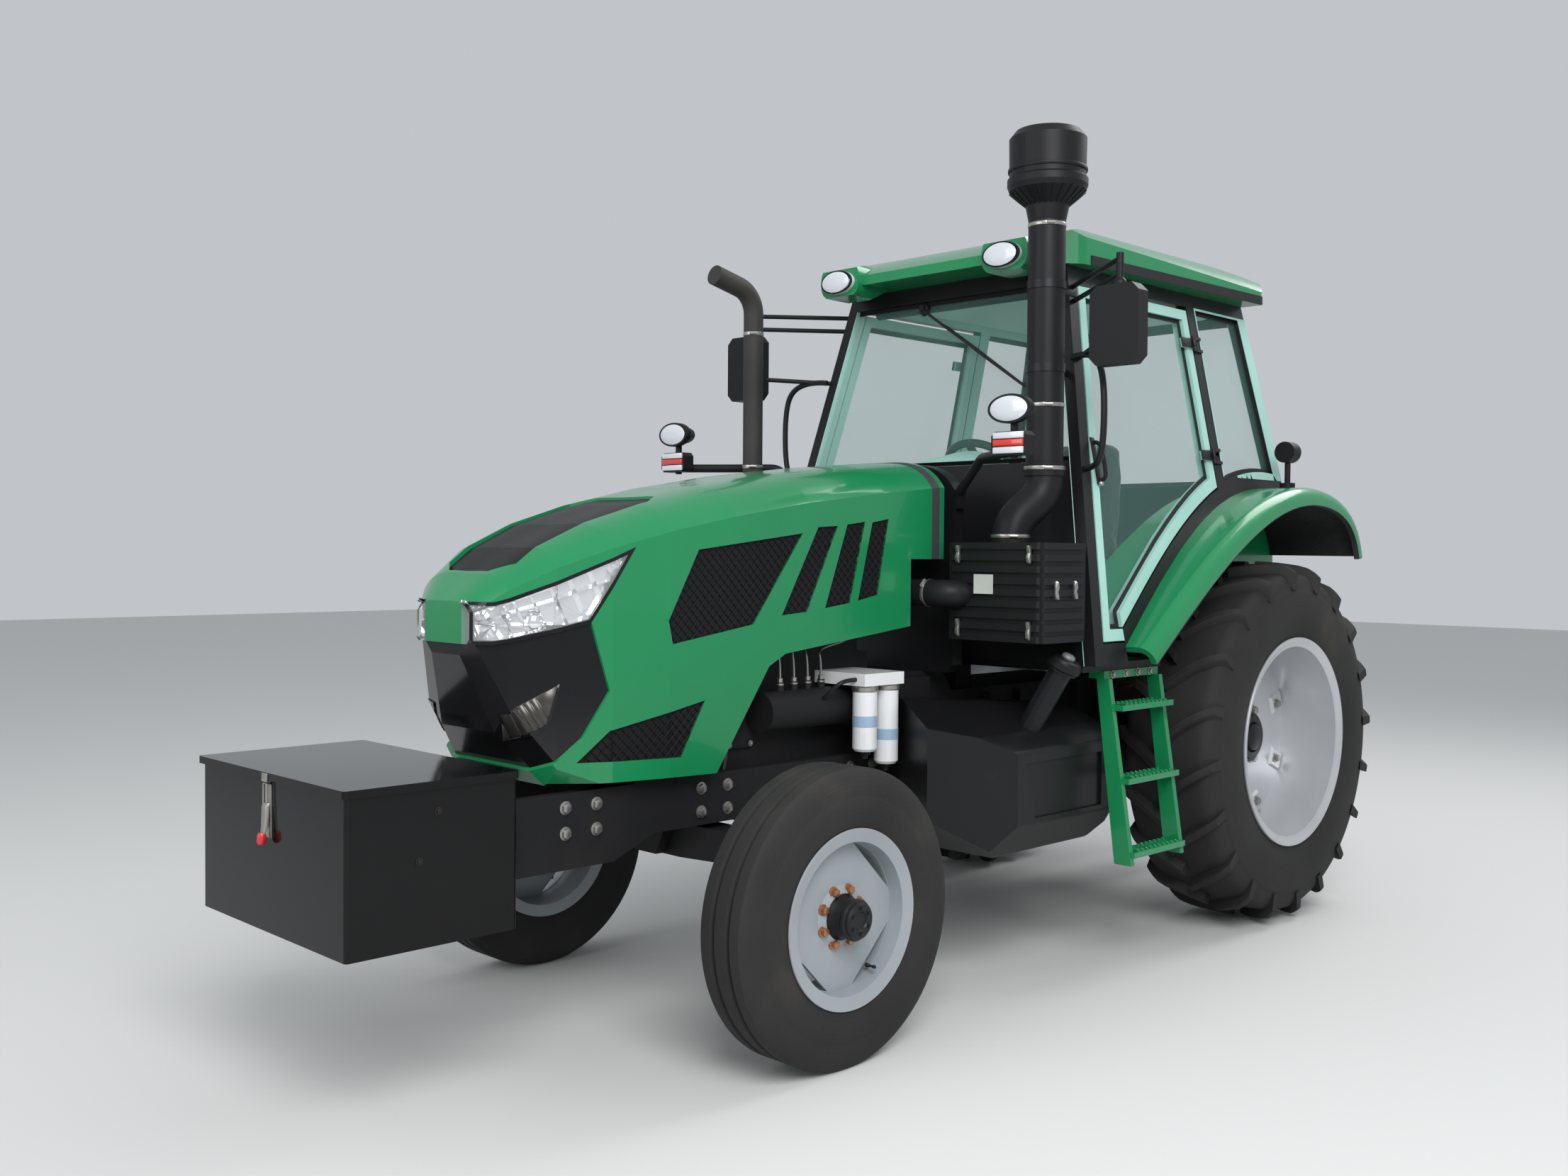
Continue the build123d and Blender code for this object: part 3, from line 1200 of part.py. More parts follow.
runners = [
    rod(
        (fore(0.2 + 0.1 * k), -ENGINE_Y - 55, MANIFOLD_Z),
        (fore(0.2 + 0.1 * k), -ENGINE_Y - GAP, MANIFOLD_Z), 30,
    )
    for k in range(4)
]
foot_pipe = bent_bar(
    [
        (fore(0.15), -ENGINE_Y - 55, MANIFOLD_Z), (EXHAUST_X - 5, -ENGINE_Y - 55, MANIFOLD_Z),
        (EXHAUST_X - 5, EXHAUST_Y, MANIFOLD_Z),
    ],
    TUBE_R - 6,
    50,
)
save(joined(stack_tube.part, jacket, manifold_bar, *runners, foot_pipe), "exhaust")

# Fuel tanks on both sides of the transmission, cut back at the front for the steered wheel
TANK_REAR = 1150
TANK_FRONT = WHEELBASE - FRONT_TYRE_R - 155
TANK_OUT = 805
tank_side = side_prism(
    [
        (TANK_REAR, 560), (TANK_REAR, 1010), (TANK_FRONT, 1090), (TANK_FRONT, 690), (TANK_FRONT - 330, 500),
        (TANK_REAR + 90, 500),
    ],
    0,
    1000,
)
tank_plan = plan_prism(
    [
        (TANK_REAR, 320), (TANK_REAR, TANK_OUT), (TANK_FRONT - 370, TANK_OUT), (TANK_FRONT - 50, 640),
        (TANK_FRONT - 200, 320),
    ],
    400,
    1200,
)
tank_cross = cross_prism(
    [
        (200, 400), (200, 1130), (420, 1085), (TANK_OUT - 75, 955), (TANK_OUT, 890), (TANK_OUT, 620),
        (TANK_OUT - 60, 520), (TANK_OUT - 130, 400),
    ],
    TANK_REAR - 100,
    TANK_FRONT + 100,
)
with BuildPart() as tank:
    add(common(tank_side, tank_plan, tank_cross))
    fillet(tank.edges().filter_by(Axis.X), 30)
panel_cut = side_prism(
    [(TANK_REAR + 80, 640), (TANK_REAR + 80, 850), (TANK_FRONT - 420, 850), (TANK_FRONT - 480, 640)],
    TANK_OUT - 12,
    TANK_OUT + 50,
)
FILLER_X = TANK_REAR + 380
filler = joined(
    rod((FILLER_X + 40, TANK_OUT - 125, 930), (FILLER_X, TANK_OUT + 15, 1190), 45),
    rod((FILLER_X + 1, TANK_OUT + 12, 1185), (FILLER_X - 5, TANK_OUT + 31, 1222), 60),
)
tank_strap = block((1640, CASE_HALF + GAP, 780), (1720, 330, 860))
save(
    joined(both_sides(joined(without(tank.part, panel_cut), tank_strap)), filler),
    "fuel_tanks",
)

# Steps below each door: two folded stringers and three slotted treads that spread outwards
STEP_REAR = 900
STEP_FRONT = 1290
STEP_HEAD_Y = 800
STEP_FOOT_Y = 905
STEP_LOW = 430
stringer = [
    (STEP_HEAD_Y + 15, 1140), (STEP_HEAD_Y + 70, 1140),
    (STEP_FOOT_Y + 75, STEP_LOW), (STEP_FOOT_Y, STEP_LOW),
]
stringers = [
    cross_prism(stringer, STEP_REAR, STEP_REAR + 25),
    cross_prism(stringer, STEP_FRONT - 25, STEP_FRONT),
]


def step_tread(k):
    """One slotted tread, counted from the lowest."""
    y, z = STEP_FOOT_Y - 30 * k, STEP_LOW + 30 + 280 * k
    plate = block((STEP_REAR + 10, y, z), (STEP_FRONT - 10, y + 85, z + 22))
    slots = [
        block((STEP_REAR + 55 + 100 * n, y + 25, z - 5), (STEP_REAR + 125 + 100 * n, y + 60, z + 30))
        for n in range(3)
    ]
    return without(plate, *slots)


step_head = block((STEP_REAR, STEP_HEAD_Y - 20, 1140), (STEP_FRONT, STEP_HEAD_Y + 50, FLOOR_LOW))
save(both_sides(joined(*stringers, *[step_tread(k) for k in range(3)], step_head)), "steps")

# Mirrors: a double bar and a single bar from the front pillars carry each head
MIRROR_X = 1450
MIRROR_Y = 1000
with BuildPart() as mirror_head:
    add(block((MIRROR_X - 25, MIRROR_Y - 105, 2325), (MIRROR_X + 40, MIRROR_Y + 105, 2620)))
    chamfer(mirror_head.edges().filter_by(Axis.X), 30)


def pillar_foot(height):
    """A point just on the outside of the front pillar."""
    return (front_line(height) - 35, side_y(height) - 4, height)


upper_bars = [rod(pillar_foot(z), (MIRROR_X, MIRROR_Y, z + 20), 10) for z in (2640, 2700)]
bar_end = rod((MIRROR_X, MIRROR_Y, 2600), (MIRROR_X, MIRROR_Y, 2740), 14)
lower_bar = rod(pillar_foot(2400), (MIRROR_X, MIRROR_Y - 80, 2420), 10)
feet_cut = side_panel([(900, 2200), (900, 2780), (1400, 2780), (1400, 2200)], 0, 60)
save(both_sides(without(joined(mirror_head.part, *upper_bars, bar_end, lower_bar), feet_cut)), "mirrors")

# Lamps: oval roof lamps in the pods, and oval work lamps over marker lamps on arms from the bulkhead


def oval_lamp(station, y, z, depth):
    """A forward-facing oval lamp with a tapered back."""
    with BuildPart() as lamp:
        for place, half, rise in ((station - depth, 62, 34), (station, 92, 52)):
            with BuildSketch(Plane.YZ.offset(ahead(place))):
                with Locations((y, z)):
                    Ellipse(half, rise)
        loft()
        with BuildSketch(Plane.YZ.offset(ahead(station))):
            with Locations((y, z)):
                Ellipse(92, 52)
        extrude(amount=12)
    return lamp.part


with BuildPart() as roof_lens:
    with BuildSketch(Plane.YZ.offset(ahead(POD_FRONT + GAP))):
        with Locations((POD_Y, POD_Z - 8)):
            Ellipse(90, 52)
    extrude(amount=24)
save(both_sides(roof_lens.part), "roof_lamps")
LAMP_X = 1960
LAMP_Y = 905
lamp_arm = bent_bar(
    [(BULKHEAD_FRONT - 25, 360, 1850), (1700, 560, 1985), (LAMP_X, LAMP_Y, 1985)], 18, 80
)
lamp_foot = block((BULKHEAD_REAR + 15, BULKHEAD_HALF + GAP, 1800), (BULKHEAD_FRONT - 5, 390, 1870))
lamp_post = rod((LAMP_X, LAMP_Y, 1960), (LAMP_X, LAMP_Y, 2100), 14)
work_lamp = oval_lamp(LAMP_X + 20, LAMP_Y, 2131, 60)
with BuildPart() as marker_lamp:
    add(block((LAMP_X - 20, LAMP_Y - 75, 1968), (LAMP_X + 35, LAMP_Y + 75, 2052)))
    chamfer(marker_lamp.edges().filter_by(Axis.X), 15)
lamp_cut = block((BULKHEAD_REAR - 50, 0, 1700), (BULKHEAD_FRONT, BULKHEAD_HALF + GAP, 2000))
lamp_set = joined(lamp_foot, lamp_arm, marker_lamp.part, lamp_post, work_lamp)
save(both_sides(without(lamp_set, lamp_cut)), "work_lamps")

# Fender lamps: a small lamp on a stalk on each rear fender
FENDER_LAMP_X = -200
FENDER_LAMP_Y = FENDER_OUT - 165
stalk = rod((FENDER_LAMP_X, FENDER_LAMP_Y, 1880), (FENDER_LAMP_X, FENDER_LAMP_Y, 2080), 13)
lamp_head = rod((FENDER_LAMP_X - 35, FENDER_LAMP_Y, 2095), (FENDER_LAMP_X + 35, FENDER_LAMP_Y, 2095), 48)
lamp_base = rod((FENDER_LAMP_X, FENDER_LAMP_Y, 1880), (FENDER_LAMP_X, FENDER_LAMP_Y, 1955), 34)
fender_lamp = without(joined(stalk, lamp_head, lamp_base), under_fender(GAP, FENDER_IN, FENDER_OUT, FLOOR_Z))
save(both_sides(fender_lamp), "fender_lamps")
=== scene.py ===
import json
from math import cos, radians, sin, tau

import bpy
from mathutils import Matrix, Quaternion, Vector

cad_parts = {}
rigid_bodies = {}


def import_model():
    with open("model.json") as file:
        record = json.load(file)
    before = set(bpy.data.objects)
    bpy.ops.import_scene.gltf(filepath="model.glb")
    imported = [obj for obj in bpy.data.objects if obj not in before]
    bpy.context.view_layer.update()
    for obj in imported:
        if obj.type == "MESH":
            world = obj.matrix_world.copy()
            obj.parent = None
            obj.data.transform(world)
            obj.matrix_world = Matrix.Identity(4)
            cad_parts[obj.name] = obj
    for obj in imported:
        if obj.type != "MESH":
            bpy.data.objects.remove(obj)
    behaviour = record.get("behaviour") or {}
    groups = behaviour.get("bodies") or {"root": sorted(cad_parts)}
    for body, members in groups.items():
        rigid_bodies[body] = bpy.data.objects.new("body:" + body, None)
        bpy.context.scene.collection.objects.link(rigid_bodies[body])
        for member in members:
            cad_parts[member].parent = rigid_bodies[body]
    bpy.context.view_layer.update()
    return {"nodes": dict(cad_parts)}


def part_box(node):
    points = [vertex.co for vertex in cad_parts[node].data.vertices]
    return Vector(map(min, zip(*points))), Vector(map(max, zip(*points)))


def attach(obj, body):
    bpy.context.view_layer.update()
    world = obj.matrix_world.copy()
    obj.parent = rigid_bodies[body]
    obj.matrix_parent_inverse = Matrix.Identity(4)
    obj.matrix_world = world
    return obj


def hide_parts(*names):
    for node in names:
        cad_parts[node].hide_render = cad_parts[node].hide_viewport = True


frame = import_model()
nodes = frame["nodes"]

# The stage is no part of the machine: a plain pale floor under a soft pale sky,
# with one large soft lamp at the left front and two weaker ones, as in a studio.
FLOOR_SPAN = 60.0
FLOOR_COLOUR = (0.62, 0.62, 0.61, 1.0)
SKY_COLOUR = (0.86, 0.9, 0.95, 1.0)
SKY_STRENGTH = 0.62
FLOOR_LEVEL = -0.002  # just below the tyres, so that no faces coincide
LAMP_AIM = Vector((0.0, 0.0, 1.2))
bpy.ops.object.select_all(action="DESELECT")
bpy.ops.mesh.primitive_plane_add(size=FLOOR_SPAN, location=(0.0, 0.0, FLOOR_LEVEL))
floor = bpy.context.object
floor.name = "floor"
floor_paint = bpy.data.materials.new("floor_paint")
floor_paint.use_nodes = True
floor_shader = floor_paint.node_tree.nodes["Principled BSDF"]
floor_shader.inputs["Base Color"].default_value = FLOOR_COLOUR
floor_shader.inputs["Roughness"].default_value = 0.9
floor.data.materials.append(floor_paint)
sky = bpy.data.worlds.new("pale_sky")
sky.use_nodes = True
sky.node_tree.nodes["Background"].inputs["Color"].default_value = SKY_COLOUR
sky.node_tree.nodes["Background"].inputs["Strength"].default_value = SKY_STRENGTH
bpy.context.scene.world = sky
bpy.context.scene.view_settings.view_transform = "Standard"
for lamp_name, lamp_place, lamp_size, lamp_power in (
    ("key_lamp", (5.0, 6.5, 6.5), 5.0, 760.0),
    ("front_lamp", (8.5, -1.5, 4.0), 5.0, 170.0),
    ("back_lamp", (-6.0, 1.5, 7.0), 4.0, 260.0),
):
    bpy.ops.object.light_add(type="AREA", location=lamp_place)
    lamp = bpy.context.object
    lamp.name = lamp_name
    lamp.data.size = lamp_size
    lamp.data.energy = lamp_power
    lamp.rotation_euler = (LAMP_AIM - Vector(lamp_place)).to_track_quat("-Z", "Y").to_euler()

# The camera is no part of the machine either. It stands where the photograph was taken, left of
# the nose at about eye height, a place found from the left wheels, the cab and the lamps.
CAMERA_PLACE = (4.5194, 3.9814, 1.6309)
CAMERA_YAW = -2.3556
CAMERA_PITCH = -0.0238
CAMERA_ROLL = -0.0076
CAMERA_LENS = 33.42
CAMERA_SHIFT = (-0.0061, -0.0021)
level_share = cos(CAMERA_PITCH)
view_line = Vector((cos(CAMERA_YAW) * level_share, sin(CAMERA_YAW) * level_share, sin(CAMERA_PITCH)))
bpy.ops.object.camera_add(location=CAMERA_PLACE)
camera = bpy.context.object
camera.rotation_euler = (Quaternion(view_line, CAMERA_ROLL) @ view_line.to_track_quat("-Z", "Y")).to_euler()
camera.data.lens = CAMERA_LENS
camera.data.shift_x, camera.data.shift_y = CAMERA_SHIFT
bpy.context.scene.camera = camera

# Front frame, axle beam, knuckles and tie rod: cast and flame-cut steel, blasted and sprayed satin
# black. Hexagon bolts tie the rails to the engine's feet and the saddle; caps close the kingpins.
CAST_BLACK = (0.012, 0.012, 0.013)
BOLT_STEEL = (0.34, 0.33, 0.31)
DUST_COLOUR = (0.19, 0.165, 0.13)
ACROSS = (0.0, 1.0, 0.0)
UP = (0.0, 0.0, 1.0)
DOWN = (0.0, 0.0, -1.0)
AHEAD = (1.0, 0.0, 0.0)
ASTERN = (-1.0, 0.0, 0.0)


def surface(
    name, colour, roughness, metallic=0.0, coat=0.0,
    mottle=0.06, grain=60.0, relief=0.02, dust=0.0, gloss=0.5,
):
    """Paint, plastic or metal: its colour drifts a little, dust dulls it in patches and a grain shows."""
    material = bpy.data.materials.new(name)
    material.use_nodes = True
    tree = material.node_tree
    shader = tree.nodes["Principled BSDF"]
    shader.inputs["Metallic"].default_value = metallic
    shader.inputs["Specular IOR Level"].default_value = gloss
    shader.inputs["Coat Weight"].default_value = coat
    shader.inputs["Coat Roughness"].default_value = 0.06
    place = tree.nodes.new("ShaderNodeTexCoord")
    clouds = tree.nodes.new("ShaderNodeTexNoise")
    clouds.inputs["Scale"].default_value = 2.6
    clouds.inputs["Detail"].default_value = 6.0
    shades = tree.nodes.new("ShaderNodeValToRGB")
    shades.color_ramp.elements[0].position = 0.3
    shades.color_ramp.elements[0].color = (*[c * (1.0 - mottle) for c in colour], 1.0)
    shades.color_ramp.elements[1].position = 0.6
    shades.color_ramp.elements[1].color = (*[min(1.0, c * (1.0 + mottle)) for c in colour], 1.0)
    soiled = shades.color_ramp.elements.new(0.85)
    soiled.color = (*[c * (1.0 - dust) + d * dust for c, d in zip(colour, DUST_COLOUR)], 1.0)
    sheen = tree.nodes.new("ShaderNodeMapRange")
    sheen.inputs["To Min"].default_value = max(0.02, roughness - 0.06)
    sheen.inputs["To Max"].default_value = min(1.0, roughness + 0.06)
    fine = tree.nodes.new("ShaderNodeTexNoise")
    fine.inputs["Scale"].default_value = grain
    fine.inputs["Detail"].default_value = 4.0
    bump = tree.nodes.new("ShaderNodeBump")
    bump.name = "grain_relief"
    bump.inputs["Strength"].default_value = relief
    bump.inputs["Distance"].default_value = 0.004
    tree.links.new(place.outputs["Object"], clouds.inputs["Vector"])
    tree.links.new(place.outputs["Object"], fine.inputs["Vector"])
    tree.links.new(clouds.outputs["Fac"], shades.inputs["Fac"])
    tree.links.new(shades.outputs["Color"], shader.inputs["Base Color"])
    tree.links.new(clouds.outputs["Fac"], sheen.inputs["Value"])
    tree.links.new(sheen.outputs["Result"], shader.inputs["Roughness"])
    tree.links.new(fine.outputs["Fac"], bump.inputs["Height"])
    tree.links.new(bump.outputs["Normal"], shader.inputs["Normal"])
    return material


def wear(material, *names):
    """Gives these CAD nodes one finish."""
    for name in names:
        nodes[name].data.materials.clear()
        nodes[name].data.materials.append(material)


def pick(piece, *others):
    """Selects these pieces alone and makes the first one active."""
    bpy.ops.object.select_all(action="DESELECT")
    for each in (piece, *others):
        each.select_set(True)
    bpy.context.view_layer.objects.active = piece


def joined(piece, *others):
    """Joins other pieces into the first one."""
    pick(piece, *others)
    bpy.ops.object.join()
    return piece


def modified(piece, kind, **settings):
    """Applies one modifier to a piece."""
    pick(piece)
    modifier = piece.modifiers.new(kind.lower(), kind)
    for setting, value in settings.items():
        setattr(modifier, setting, value)
    bpy.ops.object.modifier_apply(modifier=modifier.name)


def settle(piece, material, body, smooth=35.0):
    """Finishes a new piece: its shading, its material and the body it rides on."""
    pick(piece)
    bpy.ops.object.shade_smooth_by_angle(angle=radians(smooth))
    piece.data.materials.clear()
    piece.data.materials.append(material)
    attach(piece, body)
    return piece


def new_drum(name, start, end, radius, sides=32):
    """A cylinder primitive from one point to another, its place kept in its mesh."""
    bpy.ops.object.select_all(action="DESELECT")
    start, end = Vector(start), Vector(end)
    bpy.ops.mesh.primitive_cylinder_add(
        vertices=sides, radius=radius, depth=(end - start).length, location=(start + end) / 2
    )
    piece = bpy.context.object
    piece.name = name
    piece.rotation_euler = (end - start).to_track_quat("Z", "Y").to_euler()
    bpy.ops.object.transform_apply(location=True, rotation=True, scale=True)
    return piece


def towards(direction):
    """A choice of the faces that look in a direction."""
    return lambda centre, normal: normal.dot(Vector(direction)) > 0.9


def open_faces(piece, wanted=lambda centre, normal: True):
    """Opens a piece in edit mode with the faces selected that wanted(centre, normal) accepts."""
    mesh = piece.data
    chosen = [bool(wanted(face.center, face.normal)) for face in mesh.polygons]
    mesh.vertices.foreach_set("select", [False] * len(mesh.vertices))
    mesh.edges.foreach_set("select", [False] * len(mesh.edges))
    mesh.polygons.foreach_set("select", chosen)
    pick(piece)
    bpy.context.tool_settings.mesh_select_mode = (False, False, True)
    bpy.ops.object.mode_set(mode="EDIT")


def step_in(piece, wanted, rim, depth):
    """Insets the chosen faces by a rim and moves them along their normal by a depth."""
    open_faces(piece, wanted)
    bpy.ops.mesh.inset(thickness=rim, depth=depth, use_even_offset=True)
    bpy.ops.object.mode_set(mode="OBJECT")


def soften(piece, width, segments=2):
    """Rounds the sharp edges of a piece."""
    modified(piece, "BEVEL", width=width, segments=segments, limit_method="ANGLE")


def facing(place, outward):
    """The place of a piece modelled at the origin along +Z, turned so that it points outward."""
    return Matrix.Translation(place) @ Vector(outward).to_track_quat("Z", "Y").to_matrix().to_4x4()


def copies(pattern, name, places):
    """One piece of a pattern's copies, each with its own mesh, at these places."""
    twins = []
    for place in places:
        pick(pattern)
        bpy.ops.object.duplicate()
        twin = bpy.context.object
        twin.matrix_world = place
        bpy.ops.object.transform_apply(location=True, rotation=True, scale=True)
        twins.append(twin)
    pick(*twins)
    if len(twins) > 1:
        bpy.ops.object.join()
    whole = bpy.context.object
    whole.name = name
    if any(place.determinant() < 0 for place in places):
        bpy.ops.object.mode_set(mode="EDIT")
        bpy.ops.mesh.select_all(action="SELECT")
        bpy.ops.mesh.normals_make_consistent(inside=False)
        bpy.ops.object.mode_set(mode="OBJECT")
    return whole


def hex_bolt(radius, height):
    """A hexagon head with chamfered corners on a washer, modelled at the origin along +Z."""
    head = new_drum("bolt", (0.0, 0.0, 0.0), (0.0, 0.0, height), radius, sides=6)
    step_in(head, towards(UP), 0.2 * radius, 0.12 * radius)
    washer = new_drum("washer", (0.0, 0.0, 0.0), (0.0, 0.0, 0.25 * height), 1.35 * radius, sides=20)
    step_in(washer, towards(UP), 0.1 * radius, 0.05 * radius)
    return joined(head, washer)


def repeated(pattern, name, places):
    """One piece of a pattern's copies at these places. The pattern itself is discarded."""
    whole = copies(pattern, name, places)
    bpy.data.objects.remove(pattern)
    return whole


cast_black = surface(
    "cast_black", CAST_BLACK, 0.55, mottle=0.12, grain=120.0, relief=0.12, dust=0.08, gloss=0.2
)
bolt_steel = surface("bolt_steel", BOLT_STEEL, 0.38, metallic=0.9, grain=300.0, relief=0.03)
wear(cast_black, "front_frame", "front_axle", "knuckle_left", "knuckle_right", "tie_rod")
frame_low, frame_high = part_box("front_frame")
axle_low, axle_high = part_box("front_axle")
axle_x = (axle_low.x + axle_high.x) / 2
RAIL_BOLT_STEPS = (0.12, 0.24, 0.86, 0.98, 1.42, 1.54)
rail_bolts = repeated(
    hex_bolt(0.016, 0.014),
    "rail_bolts",
    [
        facing((frame_low.x + step, side * frame_high.y, frame_high.z - drop), (0.0, side, 0.0))
        for step in RAIL_BOLT_STEPS
        for drop in (0.045, 0.125)
        for side in (1, -1)
    ],
)
settle(rail_bolts, bolt_steel, "chassis")
for side, hand in ((1, "left"), (-1, "right")):
    knuckle_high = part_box(f"knuckle_{hand}")[1]
    kingpin = Vector((axle_x, side * (axle_high.y - 0.055), knuckle_high.z))
    cap_top = kingpin + Vector((0.0, 0.0, 0.012))
    cap = new_drum(f"kingpin_cap_{hand}", kingpin, cap_top, 0.04, sides=28)
    step_in(cap, towards(UP), 0.01, 0.008)
    step_in(cap, towards(UP), 0.02, 0.0)
    step_in(cap, lambda centre, normal: normal.z > 0.9 and centre.z > knuckle_high.z + 0.01, 0.002, 0.016)
    soften(cap, 0.002)
    settle(cap, cast_black, f"knuckle_{hand}")

# Front wheels: ribbed road tyres on pressed steel rims painted grey, each held by eight coppered
# nuts round a black hub with a bolted cap. The tyre is moulded with three ribs and two grooves.
RUBBER = (0.02, 0.0195, 0.019)
RIM_GREY = (0.27, 0.3, 0.32)
RIM_SILVER = (0.5, 0.51, 0.53)
COPPERED = (0.42, 0.2, 0.1)
HUB_BLACK = (0.01, 0.01, 0.011)
FRONT_BEAD = 0.2543
FRONT_HALF_TYRE = (
    (0.0855, FRONT_BEAD), (0.097, 0.282), (0.1055, 0.318), (0.1075, 0.352), (0.1068, 0.38),
    (0.1042, 0.386), (0.1042, 0.394), (0.1036, 0.418), (0.1012, 0.434), (0.0965, 0.452),
    (0.0905, 0.466), (0.0825, 0.4745), (0.078, 0.475), (0.044, 0.475), (0.0405, 0.4715),
    (0.038, 0.4615), (0.028, 0.4615), (0.0255, 0.4715), (0.022, 0.475),
)
FRONT_NUTS = 8
NUT_RING = 0.088
CAP_BOLTS = 6
CAP_BOLT_RING = 0.04
MIRROR_ACROSS = Matrix.Scale(-1.0, 4, ACROSS)


def settle_pair(piece, material, body, smooth=35.0):
    """Finishes a piece of the left side and its mirrored twin on the right."""
    twin = copies(piece, piece.name.replace("left", "right"), [MIRROR_ACROSS])
    settle(piece, material, body, smooth)
    settle(twin, material, body.replace("left", "right"), smooth)


def spun(name, profile, start, axis, steps=64, closed=True):
    """A ring or a solid turned about an axis from an outline of (along, radius) points."""
    bpy.ops.object.select_all(action="DESELECT")
    bpy.ops.mesh.primitive_circle_add(vertices=len(profile), radius=0.1)
    piece = bpy.context.object
    piece.name = name
    along = Vector(axis).normalized()
    out = along.orthogonal().normalized()
    for point, (run, radius) in zip(piece.data.vertices, profile):
        point.co = Vector(start) + along * run + out * radius
    last = len(profile) - 1
    for edge in piece.data.edges:
        edge.select = not closed and set(edge.vertices) == {0, last}
    bpy.context.tool_settings.mesh_select_mode = (False, True, False)
    bpy.ops.object.mode_set(mode="EDIT")
    if not closed:
        bpy.ops.mesh.delete(type="EDGE")
    bpy.ops.mesh.select_all(action="SELECT")
    bpy.ops.mesh.spin(steps=steps, angle=tau, center=start, axis=along)
    bpy.ops.mesh.select_all(action="SELECT")
    bpy.ops.mesh.remove_doubles(threshold=0.0002)
    bpy.ops.mesh.normals_make_consistent(inside=False)
    bpy.ops.object.mode_set(mode="OBJECT")
    return piece


def ring_places(hub, out, radius, count, start=0.0):
    """Places on a circle round a left wheel's axle, at a distance out from its middle, facing outward."""
    turns = [tau * (k + start) / count for k in range(count)]
    return [facing(hub + Vector((radius * sin(turn), out, radius * cos(turn))), ACROSS) for turn in turns]


def moulded_rubber(name, hub):
    """Black rubber with the fine rings that its mould leaves round the hub, dusty in patches."""
    material = surface(name, RUBBER, 0.74, mottle=0.2, grain=90.0, relief=0.1, dust=0.2, gloss=0.25)
    tree = material.node_tree
    place = tree.nodes.new("ShaderNodeTexCoord")
    about_hub = tree.nodes.new("ShaderNodeMapping")
    about_hub.inputs["Location"].default_value = (-hub.x, 0.0, -hub.z)
    rings = tree.nodes.new("ShaderNodeTexWave")
    rings.wave_type = "RINGS"
    rings.rings_direction = "Y"
    rings.inputs["Scale"].default_value = 22.0
    ring_relief = tree.nodes.new("ShaderNodeBump")
    ring_relief.inputs["Strength"].default_value = 0.18
    ring_relief.inputs["Distance"].default_value = 0.002
    tree.links.new(place.outputs["Object"], about_hub.inputs["Vector"])
    tree.links.new(about_hub.outputs["Vector"], rings.inputs["Vector"])
    tree.links.new(rings.outputs["Fac"], ring_relief.inputs["Height"])
    tree.links.new(ring_relief.outputs["Normal"], tree.nodes["grain_relief"].inputs["Normal"])
    return material


rim_grey = surface("rim_grey", RIM_GREY, 0.42, coat=0.15, grain=160.0, relief=0.03, dust=0.1)
rim_silver = surface("rim_silver", RIM_SILVER, 0.34, metallic=0.45, coat=0.2, grain=180.0, relief=0.03)
coppered = surface("coppered_nuts", COPPERED, 0.4, metallic=0.85, grain=250.0, relief=0.05)
hub_black = surface("hub_black", HUB_BLACK, 0.4, grain=120.0, relief=0.05, gloss=0.25)
wear(rim_grey, "front_rim_left", "front_rim_right")
tyre_low, tyre_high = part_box("front_tyre_left")
rim_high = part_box("front_rim_left")[1]
front_hub = (tyre_low + tyre_high) / 2
front_rubber = moulded_rubber("front_rubber", front_hub)
front_profile = [(-across, radius) for across, radius in FRONT_HALF_TYRE]
front_profile += [(across, radius) for across, radius in reversed(FRONT_HALF_TYRE)]
front_tyre = spun("front_tread_left", front_profile, front_hub, ACROSS, steps=120)
hub_end = rim_high.y - front_hub.y
disc_face = 0.044
hub_cover = spun(
    "front_hub_left",
    [
        (disc_face + 0.001, 0.076), (disc_face + 0.012, 0.074), (disc_face + 0.02, 0.066),
        (hub_end - 0.03, 0.06), (hub_end - 0.022, 0.066), (hub_end - 0.012, 0.066),
        (hub_end - 0.008, 0.06), (hub_end + 0.001, 0.0585), (hub_end + 0.007, 0.05),
        (hub_end + 0.007, 0.03), (hub_end + 0.002, 0.026), (hub_end + 0.002, 0.0),
    ],
    front_hub,
    ACROSS,
    closed=False,
)
rim_ring = spun(
    "front_rim_ring_left",
    [
        (0.0885, 0.2435), (0.0945, 0.262), (0.1035, 0.276), (0.1055, 0.2848), (0.1015, 0.2862),
        (0.0985, 0.278),
    ],
    front_hub,
    ACROSS,
    steps=96,
)
front_nuts = repeated(
    hex_bolt(0.0135, 0.02),
    "front_nuts_left",
    ring_places(front_hub, disc_face + 0.001, NUT_RING, FRONT_NUTS, start=0.5),
)
cap_bolts = repeated(
    hex_bolt(0.006, 0.005),
    "front_cap_bolts_left",
    ring_places(front_hub, hub_end + 0.007, CAP_BOLT_RING, CAP_BOLTS),
)
valve_foot = front_hub + Vector((-0.216 * sin(0.6), disc_face + 0.004, -0.216 * cos(0.6)))
valve = spun(
    "front_valve_left",
    [
        (0.0, 0.007), (0.012, 0.0065), (0.014, 0.004), (0.034, 0.004), (0.036, 0.0055),
        (0.046, 0.0055), (0.048, 0.0),
    ],
    valve_foot,
    (0.2, 1.0, 0.1),
    steps=16,
    closed=False,
)
for piece, finish, slot in (
    (front_tyre, front_rubber, "tyre_rubber"),
    (hub_cover, hub_black, "black_paint"),
    (rim_ring, rim_silver, "rim_silver"),
    (front_nuts, coppered, "rim_silver"),
    (cap_bolts, hub_black, "black_paint"),
    (valve, hub_black, "black_paint"),
):
    settle_pair(piece, finish, "front_wheel_left")
